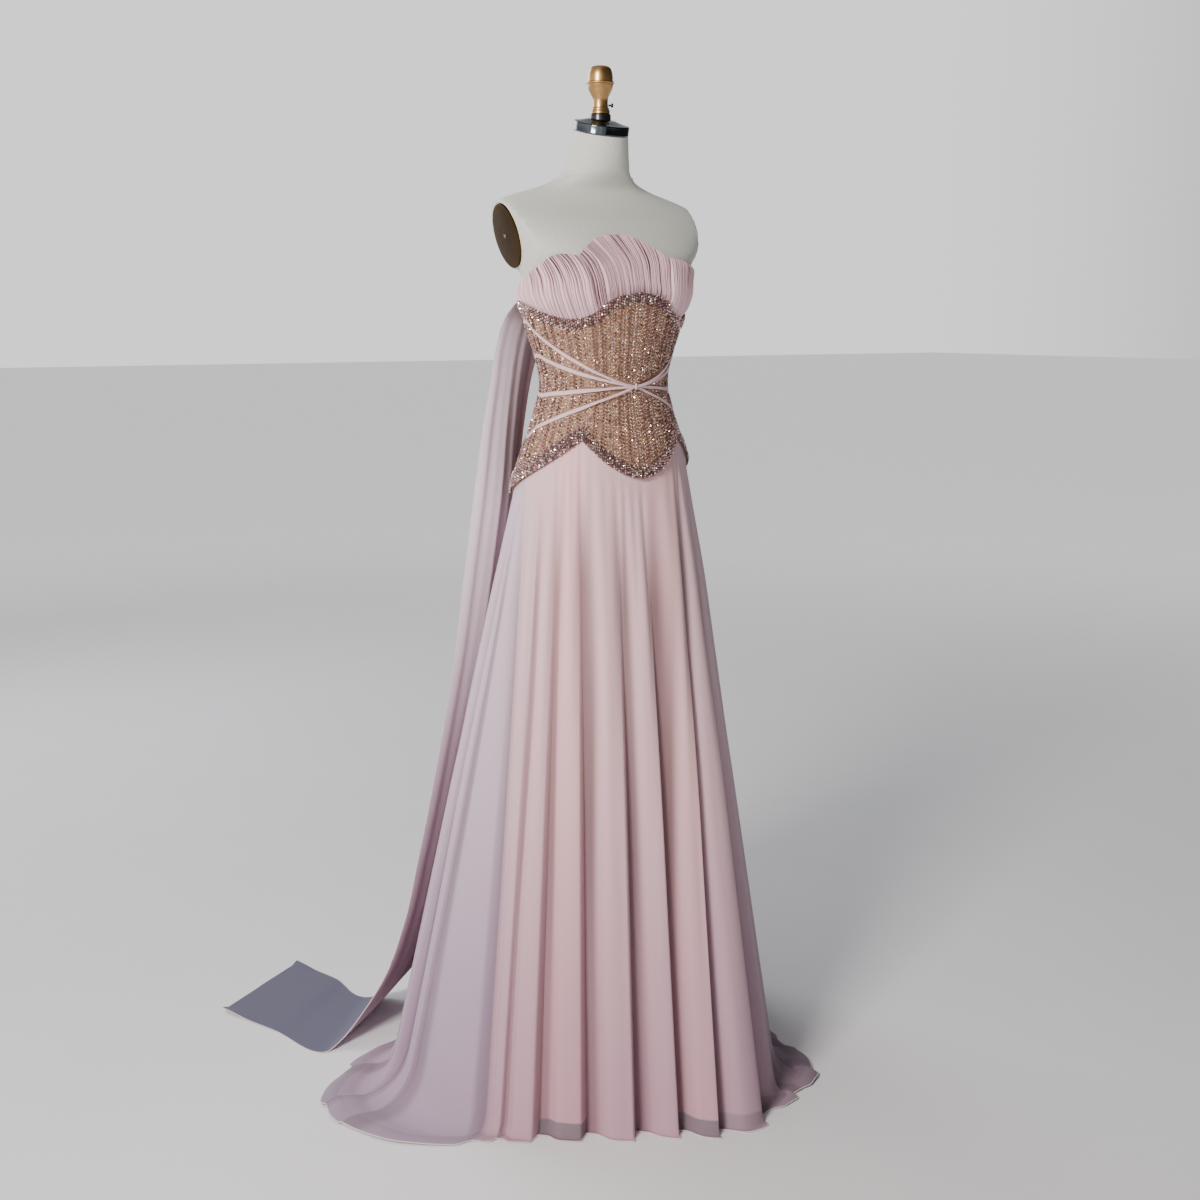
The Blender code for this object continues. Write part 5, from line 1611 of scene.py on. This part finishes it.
    def build(self) -> None:
        """Build the three panels, their rolled hem and the side seams."""
        for name, start, end, per_fold, flat, area in self.panels:
            columns = self.columns(start, end, per_fold)
            grid, fold = self.grid(columns)
            outward = -normals_of(grid)
            facing = np.sum(outward[5] * polar(columns.hem, 1.0, 0.0), axis=-1).mean()
            outward *= 1.0 if facing > 0 else -1.0
            for seam in (0, -1):
                around = polar(columns.hem[seam] + 90.0, 1.0, 0.0)
                outward[:, seam] -= (outward[:, seam] @ around)[:, None] * around
            outward /= np.linalg.norm(outward, axis=-1, keepdims=True)
            outer = grid + self.cloth * outward
            from_hem = run_lengths(outer[::-1], 0)[::-1]
            along = run_lengths(outer[-12:], 1)[0]
            places = np.stack([np.broadcast_to(along, from_hem.shape), from_hem], axis=-1)
            values = {
                "fold": fold, "warm": np.broadcast_to(columns.warm, fold.shape),
                "sheer": np.broadcast_to(columns.sheer, fold.shape)}
            piece = cloth_wall(f"chiffon_skirt_{name}", outer, grid, [self.palette.skirt], values, places)
            dress(piece, "chiffon", f"skirt_{name}")
            hem_line = 0.5 * (outer[-1] + grid[-1])
            rolled = tube_along(f"rolled_hem_{name}", hem_line, 0.0011, 7, [self.palette.hem])
            dress(rolled, "chiffon")

    def columns(self, start: float, end: float, per_fold: int) -> Columns:
        """Place the columns of one panel, closer together at the folds' steps.

        Args:
            start: The panel's first hem angle.
            end: Its last hem angle.
            per_fold: How many columns each fold gets.

        Returns:
            The columns, in order.
        """
        even = np.arange(per_fold) / per_fold
        found = []
        for number, fold in enumerate(self.folds[:-1]):
            beyond = self.folds[number + 1]
            if not start <= fold.hem < end:
                continue
            knots = (0.0, 0.05, fold.shade + 0.14, 1 - 1.3 * self.step_share, 1.0)
            part = np.interp(even, self.even_places, knots)
            level = np.ones_like(part)
            kept = [value * level for value in (fold.wide, fold.shade, fold.warm, fold.sheer)]
            top = fold.top + (beyond.top - fold.top) * part
            hem = fold.hem + (beyond.hem - fold.hem) * part
            found.append(np.stack([top, hem, fold.depth * level, part, number + part, *kept]))
        last = found[-1][:, -1:].copy()
        last[:5] = [[end], [end], [0.0], [1.0], [math.ceil(last[4, 0])]]
        joined = np.concatenate([*found, last], axis=1)
        for row in (0, 1):
            joined[row, 0] += SEAM_TURN
            joined[row, -1] -= SEAM_TURN
        return Columns(*joined)

    def all_creases(self) -> list[Crease]:
        """The minor creases of the front as listed, and like ones in the folds that are hidden."""
        found = list(self.creases)
        for number in range(len(self.folds) - 1):
            if self.shown[0] <= number <= self.shown[1]:
                continue
            for turn, (part, width, height, start, end) in enumerate(self.hidden_shapes):
                shift = 0.10 * math.sin(1.7 * number + 2.1 * turn)
                size = height * (1.0 + 0.3 * math.sin(2.9 * number + turn))
                found.append(Crease(number + part + shift, width, size, start, end))
        return found

    def relief(self, columns: Columns, fallen: Array) -> tuple[Array, Array]:
        """How far the folds and creases stand out, and how much painted shade each point gets in its
        hollow.

        Args:
            columns: The panel's columns.
            fallen: How far down the skirt each point is, from 0 to 1.

        Returns:
            The relief in metres, and the fold value of the painted shade: 1 outside, 0 in the darkest
            hollow.
        """
        part = columns.part
        shade = columns.shade + (columns.wide - columns.shade) * (1 - smooth_step(0.05, 0.75, fallen))
        hollow = part / shade
        rise = 0.12 * smooth_step(0.0, 1.0, hollow)
        rise = rise + 0.70 * smooth_step(0.0, 1.0, (part - 0.75 * shade) / 0.34)
        rise = rise + 0.18 * smooth_step(0.45, 0.86, part)
        crisp = rise * (1 - smooth_step(1 - self.step_share, 1.0, part))
        soft = np.sin(math.pi * part**1.25) ** 2
        turned = smooth_step(0.04, 0.55, fallen)
        growth = 0.26 * smooth_step(0.0, 0.22, fallen) + 0.74 * fallen**1.25
        relief = columns.depth * growth * (soft + (crisp - soft) * turned)
        wave = np.sin(2 * math.pi * 3 * columns.number + 2 * uneven(columns.number, 3.0))
        near_top = smooth_step(0.0, 0.05, fallen) * (1 - smooth_step(0.12, 0.40, fallen))
        relief = relief + 0.0009 * wave * near_top
        for crease in self.all_creases():
            across = np.exp(-(((columns.number - crease.column) / crease.width) ** 2))
            middle = 0.5 * (crease.start + crease.end)
            reach = 0.5 * (crease.end - crease.start)
            if crease.end >= 1.0:
                window = smooth_step(crease.start, middle, fallen)
            else:
                window = smooth_step(0.0, 1.0, 1 - np.abs(fallen - middle) / reach)
            relief = relief + crease.height * across * window
        # Painted shade: dark in the hollow behind each step and on the step's own face, soft in the upper
        # skirt and a little lighter near the hem.
        painted_step_shade = np.maximum(
            1 - smooth_step(0.60, 1.30, hollow), smooth_step(1 - 0.6 * self.step_share, 1.0, part))
        dark = (1 - soft) ** 2 * (1 - turned) + painted_step_shade * turned
        dark = dark * (1 - 0.30 * smooth_step(0.55, 0.85, fallen))
        strength = np.clip(columns.depth / 0.030, 0.0, 1.0) * smooth_step(0.02, 0.22, fallen)
        return relief, 1 - dark * strength

    def grid(self, columns: Columns) -> tuple[Array, Array]:
        """The cloth's inner face: a leaning wall, a bend and the part lying on the floor.

        Args:
            columns: The panel's columns.

        Returns:
            The grid of points, and its fold value from 0 to 1, which carries the painted shade of the
            hollows and of the train lying on the floor on the wearer's left.
        """
        edge = self.surface.lower_edge(columns.top)
        tucked = self.surface.points(columns.top, edge + self.under_corset, self.lining)
        top = self.surface.points(columns.top, edge - self.below_corset, self.lining)
        foot_radius = read_column(self.plan, 1, columns.hem)
        hem_radius = read_column(self.plan, 2, columns.hem)
        spread = hem_radius - foot_radius
        foot = polar(columns.hem, foot_radius, 0.0)
        landing = polar(columns.hem, foot_radius + 0.5 * spread, 0.0)
        hem = polar(columns.hem, hem_radius, 0.0)
        bend_height = self.bend_lowest + self.bend_share * spread
        bend = top + (foot - top) * (1 - bend_height / top[:, 2])[:, None]
        rows = [tucked]
        rows += [top + (bend - top) * t**1.15 for t in np.linspace(0.0, 1.0, self.wall_rows)]
        for t in np.linspace(0.0, 1.0, self.bend_rows + 1)[1:]:
            rows.append(bend * (1 - t) ** 2 + foot * 2 * t * (1 - t) + landing * t * t)
        for t in np.linspace(0.0, 1.0, self.floor_rows + 1)[1:]:
            rows.append(landing + (hem - landing) * t)
        grid = np.array(rows)
        fallen = np.clip(1 - grid[:, :, 2] / top[:, 2], 0.0, 1.0)
        relief, fold = self.relief(columns, fallen)
        lying = np.clip(spread / self.ripple_spread, 0.0, 1.0)
        laid = np.zeros(len(rows))
        laid[-self.floor_rows - self.bend_rows :] = np.linspace(
            0.0, 1.0, self.floor_rows + self.bend_rows)
        relief = relief * (1 - 0.6 * lying * laid[:, None])
        level = grid[:, :, :2]
        outward = level / np.linalg.norm(level, axis=-1, keepdims=True)
        grid[:, :, :2] += outward * relief[:, :, None]
        count = self.floor_rows + 1
        reach = np.linspace(0.0, 1.0, count)[:, None]
        swell = 0.5 + 0.5 * uneven(0.9 * columns.number, 7.0)
        small = 0.25 * (1 + uneven(3.1 * columns.number, 4.0)) * smooth_step(0.2, 1.0, reach)
        shape = 0.75 * np.sin(math.pi * reach) + 0.35 * reach
        grid[-count:, :, 2] += self.ripple * lying * (swell + small) * shape
        grid[:, :, 2] = np.maximum(grid[:, :, 2], 0.0)
        # Painted shade on the cloth that lies on the floor on the wearer's left, the side away from the
        # key light.
        hem_turn = columns.hem
        left = smooth_step(8, 34, hem_turn) * (1 - smooth_step(105, 150, hem_turn))
        return grid, fold * (1 - self.floor_painted_shade * lying * laid[:, None] * left)


@dataclass
class Streamer:
    """The long panel that hangs from the right side back and opens out on the floor."""

    surface: BodySurface
    palette: Palette
    top_angles: tuple = (-117, -148)
    top_height: float = 1.322
    top_out: float = 0.0112
    columns: int = 84
    rows: int = 120
    cloth: float = 0.0011
    # Height, outer selvedge's angle and distance, inner selvedge's, and depth of its fold.
    levels: tuple = (
        (1.296, -116, 0.168, -152, 0.118, 0.003), (1.250, -119, 0.182, -151, 0.127, 0.006),
        (1.190, -121, 0.193, -150, 0.143, 0.010), (1.110, -122, 0.208, -150, 0.158, 0.016),
        (1.000, -123, 0.224, -150, 0.172, 0.022), (0.860, -123, 0.243, -150, 0.190, 0.020),
        (0.680, -123, 0.267, -150, 0.222, 0.016), (0.500, -124, 0.300, -150, 0.262, 0.013),
        (0.330, -124, 0.335, -150, 0.300, 0.013), (0.200, -123, 0.365, -149, 0.333, 0.012),
        (0.110, -121, 0.398, -147, 0.366, 0.010), (0.050, -117, 0.440, -144, 0.405, 0.006),
        (0.012, -114, 0.478, -142, 0.443, 0.003), (0.000, -112, 0.502, -140, 0.470, 0.000),
        (0.000, -122, 0.605, -146, 0.576, 0.000), (0.000, -129, 0.725, -149, 0.693, 0.000))

    def build(self) -> None:
        share = np.linspace(0.0, 1.0, self.columns + 1)
        grid, fold = self.grid(share)
        outward = normals_of(grid)
        if np.mean(np.sum(outward[10] * polar(-123.0, 1.0, 0.0), axis=-1)) < 0:
            outward = -outward
        outer = grid + self.cloth * outward
        piece = cloth_wall(
            "chiffon_streamer", outer, grid,
            [self.palette.streamer_outside, self.palette.streamer_inside], {"fold": fold})
        dress(piece, "chiffon", "streamer")
        middle = 0.5 * (outer + grid)
        rim = np.concatenate([middle[:, 0], middle[-1, 1:], middle[-2::-1, -1]])
        edge = tube_along("streamer_rolled_edge", rim, 0.0009, 6, [self.palette.hem])
        dress(edge, "chiffon")

    def grid(self, share: Array) -> tuple[Array, Array]:
        """The panel's inner face, and its fold value, which carries painted shade on the hanging part
        towards the inner selvedge and in its small folds.
        """
        tops = np.interp(share, (0.0, 1.0), self.top_angles)
        first = self.surface.points(tops, self.top_height, self.top_out)
        lines = [first]
        depths = [0.0]
        for height, outer_angle, outer_radius, inner_angle, inner_radius, depth in self.levels:
            outer = polar(outer_angle, outer_radius, height)
            inner = polar(inner_angle, inner_radius, height)
            lines.append(outer + (inner - outer) * share[:, None])
            depths.append(depth)
        known = np.array(lines)
        ends = np.linalg.norm(np.diff(known[:, 0], axis=0), axis=-1)
        run = np.concatenate([[0.0], np.cumsum(ends)])
        steps = np.linspace(0.0, run[-1], self.rows)
        grid = np.empty((self.rows, len(share), 3))
        for number in range(len(share)):
            for axis in range(3):
                grid[:, number, axis] = smooth_through(run, known[:, number, axis], steps)
        depth = smooth_through(run, depths, steps)[:, None]
        along = grid[:, -1] - grid[:, 0]
        square = np.stack([along[:, 1], -along[:, 0], np.zeros(self.rows)], axis=-1)
        square /= np.linalg.norm(square, axis=-1, keepdims=True)
        far = (steps / steps[-1])[:, None]
        ridge = np.sin(math.pi * share**0.7)
        edges = np.sin(math.pi * share) ** 0.5
        sway = share + 0.03 * uneven(5.0 * far, 6.0) * edges
        minor = 0.16 * np.sin(6.3 * math.pi * sway + 1.0) + 0.07 * np.sin(11 * math.pi * sway)
        offset = depth * (ridge + minor * edges)
        grid += square[:, None] * offset[:, :, None]
        landed = smooth_step(run[-4], run[-3], steps)[:, None]
        floor = 0.0016 * (1 + uneven(3.0 * share + 2.0 * far, 3.0)) * edges
        corner = smooth_step(0.95, 1.0, far) * (
            smooth_step(0.92, 1.0, share) + smooth_step(0.92, 1.0, 1 - share))
        grid[:, :, 2] += landed * (floor + 0.006 * corner + 0.0006)
        grid[:, :, 2] = np.maximum(grid[:, :, 2], 0.0)
        # Painted shade: darker on the hanging part towards its inner selvedge, nearer the gown, and in
        # the hollows of its small folds.
        hanging = 1 - smooth_step(run[-6], run[-3], steps)[:, None]
        painted_shade_side = smooth_step(0.42, 0.72, sway)
        return grid, 1 - hanging * np.clip(0.85 * painted_shade_side - 0.5 * minor, 0.0, 1.0)


# --------------------------------------
# Centre-back zip
# --------------------------------------


@dataclass
class CentreBackZip:
    """The concealed zip: a tape with a coil of small teeth, its slider and its pull tab."""

    surface: BodySurface
    palette: Palette
    width: float = 0.006
    top: float = 1.308
    bottom: float = 0.990
    inside: float = 0.0040
    outside: float = 0.0052
    teeth_top: float = 1.293
    tooth_pitch: float = 0.0021

    def build(self, nodes: dict[str, Object]) -> None:
        """Build the tape and its teeth, and give the two metal nodes their brass."""
        heights = np.linspace(self.top, self.bottom, 60)[:, None]
        across = np.linspace(self.width / 2, -self.width / 2, 9)
        middle = self.surface.points(np.array(180.0), heights, self.inside)
        inner = np.repeat(middle, len(across), axis=1)
        inner[:, :, 0] = across
        fold = np.abs(across / (self.width / 2))
        outer = inner.copy()
        outer[:, :, 1] += (self.outside - self.inside) * (0.75 + 0.25 * (1 - fold**2))
        tape = cloth_wall("zip_woven_tape", outer, inner, [self.palette.zip_cloth])
        dress(tape, "zip_cloth", "zip_tape")
        count = int((self.teeth_top - self.bottom) / self.tooth_pitch)
        levels = self.teeth_top - (np.arange(count) + 0.5) * self.tooth_pitch
        side = np.where(np.arange(count) % 2 == 0, 0.0007, -0.0007)
        points = self.surface.points(np.full(count, 180.0), levels, self.outside + 0.0003)
        points[:, 0] += side
        turns = self.surface.turns(np.full(count, 180.0), levels, np.full(count, 90.0))
        teeth = Beads("zip_coil", BeadShape.BUGLE, 0.0012, 0.0030, self.palette.brass, 0.0)
        dress(teeth.sew(points, turns), "zip_metal")
        for name in ("zip_slider", "zip_pull"):
            enamelled(nodes[name], self.palette.brass)


# --------------------------------------
# Studio
# --------------------------------------


@dataclass
class Studio:
    """A pale floor, soft light and the camera at the photograph's place."""

    camera_place: tuple = (-1.525, -2.348, 1.300)
    right: tuple = (0.83984, -0.54284, 0.0)
    forward: tuple = (0.53485, 0.82697, -0.17376)
    lens: float = 48.39
    horizon: float = 1.3
    overhead: float = 0.45
    dark_side: tuple = (0.70, -0.71, 0.0)

    def build(self) -> None:
        """Set up the floor, the world, the lights and the camera."""
        self.floor()
        self.world()
        # Name, place, aim, size, watts and colour of each soft box.
        boxes = (
            ("key", (-3.1, -1.7, 2.7), (0.0, 0.0, 1.20), 1.0, 166.0, "#fff7f2"),
            ("front", (-1.6, -3.6, 2.4), (0.0, 0.0, 1.1), 1.8, 6.0, "#f4f4ff"),
            ("back", (-0.6, 3.2, 2.6), (0.0, 0.0, 0.9), 2.0, 60.0, "#f4f6ff"))
        for name, place, aim, size, watts, colour in boxes:
            data = bpy.data.lights.new(name, "AREA")
            data.size = size
            data.energy = watts
            data.color = linear(colour)[:3]
            lamp = put(name, data)
            lamp.location = place
            lamp.rotation_euler = (Vector(aim) - Vector(place)).to_track_quat("-Z", "Y").to_euler()
        self.camera()

    def floor(self) -> None:
        """A wide pale floor that runs beyond the view."""
        reach = 40.0
        mesh = bpy.data.meshes.new("studio_floor")
        corners = [(-reach, -reach, 0), (reach, -reach, 0), (reach, reach, 0), (-reach, reach, 0)]
        mesh.from_pydata(corners, [], [(0, 1, 2, 3)])
        material, tree, shader = plain_material("painted studio floor", "#f4f4f5", 0.85)
        place = add_node(tree, "TexCoord").outputs["Object"]
        clouds = add_node(tree, "TexNoise", {"Vector": place, "Scale": 3.0, "Detail": 4.0})
        tone = add_node(
            tree, "Mix", {0: clouds, 6: linear("#f1f1f2"), 7: linear("#f7f7f8")}, data_type="RGBA")
        # The far floor glows a little, so that it meets the surround in one pale tone.
        far = add_node(tree, "VectorMath", {0: place}, operation="LENGTH")
        glow = add_node(
            tree, "MapRange", {"Value": far, "From Min": 1.0, "From Max": 7.0, "To Max": 0.52},
            interpolation_type="SMOOTHSTEP")
        connect(
            shader,
            {"Base Color": tone, "Emission Color": linear("#f8f8fa"), "Emission Strength": glow})
        mesh.materials.append(material)
        floor = put("studio_floor", mesh)
        floor.location.z = -0.0005

    def world(self) -> None:
        """A pale surround, bright along the horizon, dimmer overhead and dark on one side."""
        world = bpy.data.worlds.new("pale surround")
        world.use_nodes = True
        tree = world.node_tree
        way = add_node(tree, "TexCoord").outputs["Generated"]
        part = add_node(tree, "SeparateXYZ", {"Vector": way})
        strength = add_node(
            tree, "MapRange",
            {"Value": part.outputs["Z"], "From Min": 0.20, "From Max": 0.40, "To Min": self.horizon,
             "To Max": self.overhead},
            interpolation_type="SMOOTHSTEP")
        side = add_node(tree, "VectorMath", {0: way, 1: self.dark_side}, operation="DOT_PRODUCT")
        flagged = add_node(
            tree, "MapRange",
            {"Value": side, "From Min": -0.05, "From Max": 0.45, "To Min": 1.0, "To Max": 0.04},
            interpolation_type="SMOOTHSTEP")
        total = add_node(tree, "Math", {0: strength, 1: flagged}, operation="MULTIPLY")
        connect(tree.nodes["Background"], {"Color": linear("#f8f8fa"), "Strength": total})
        bpy.context.scene.world = world

    def camera(self) -> None:
        """The photograph's camera, square and level across."""
        data = bpy.data.cameras.new("photo_camera")
        data.lens = self.lens
        data.sensor_width = 36.0
        camera = put("photo_camera", data)
        right = Vector(self.right).normalized()
        forward = Vector(self.forward).normalized()
        up = right.cross(forward)
        turn = Matrix((right, up, -forward)).transposed()
        camera.matrix_world = Matrix.Translation(self.camera_place) @ turn.to_4x4()
        bpy.context.scene.camera = camera


# --------------------------------------
# The whole scene
# --------------------------------------


def main() -> None:
    """Load the solids, dress them and set up the studio."""
    logging.basicConfig(level=logging.INFO, format="%(message)s")
    for found in list(bpy.data.objects):
        bpy.data.objects.remove(found, do_unlink=True)
    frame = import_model()
    surface = BodySurface()
    palette = Palette()
    DressForm(surface, palette).build()
    Stand(palette).build(frame["nodes"])
    straps = WaistStraps(surface, palette)
    Corset(surface, palette, straps).build()
    Trims(surface, palette).build()
    PleatedShells(surface, palette).build()
    straps.build()
    Skirt(surface, palette).build()
    Streamer(surface, palette).build()
    CentreBackZip(surface, palette).build(frame["nodes"])
    Studio().build()
    LOG.info("the scene is dressed")


if __name__ == "__main__":
    main()
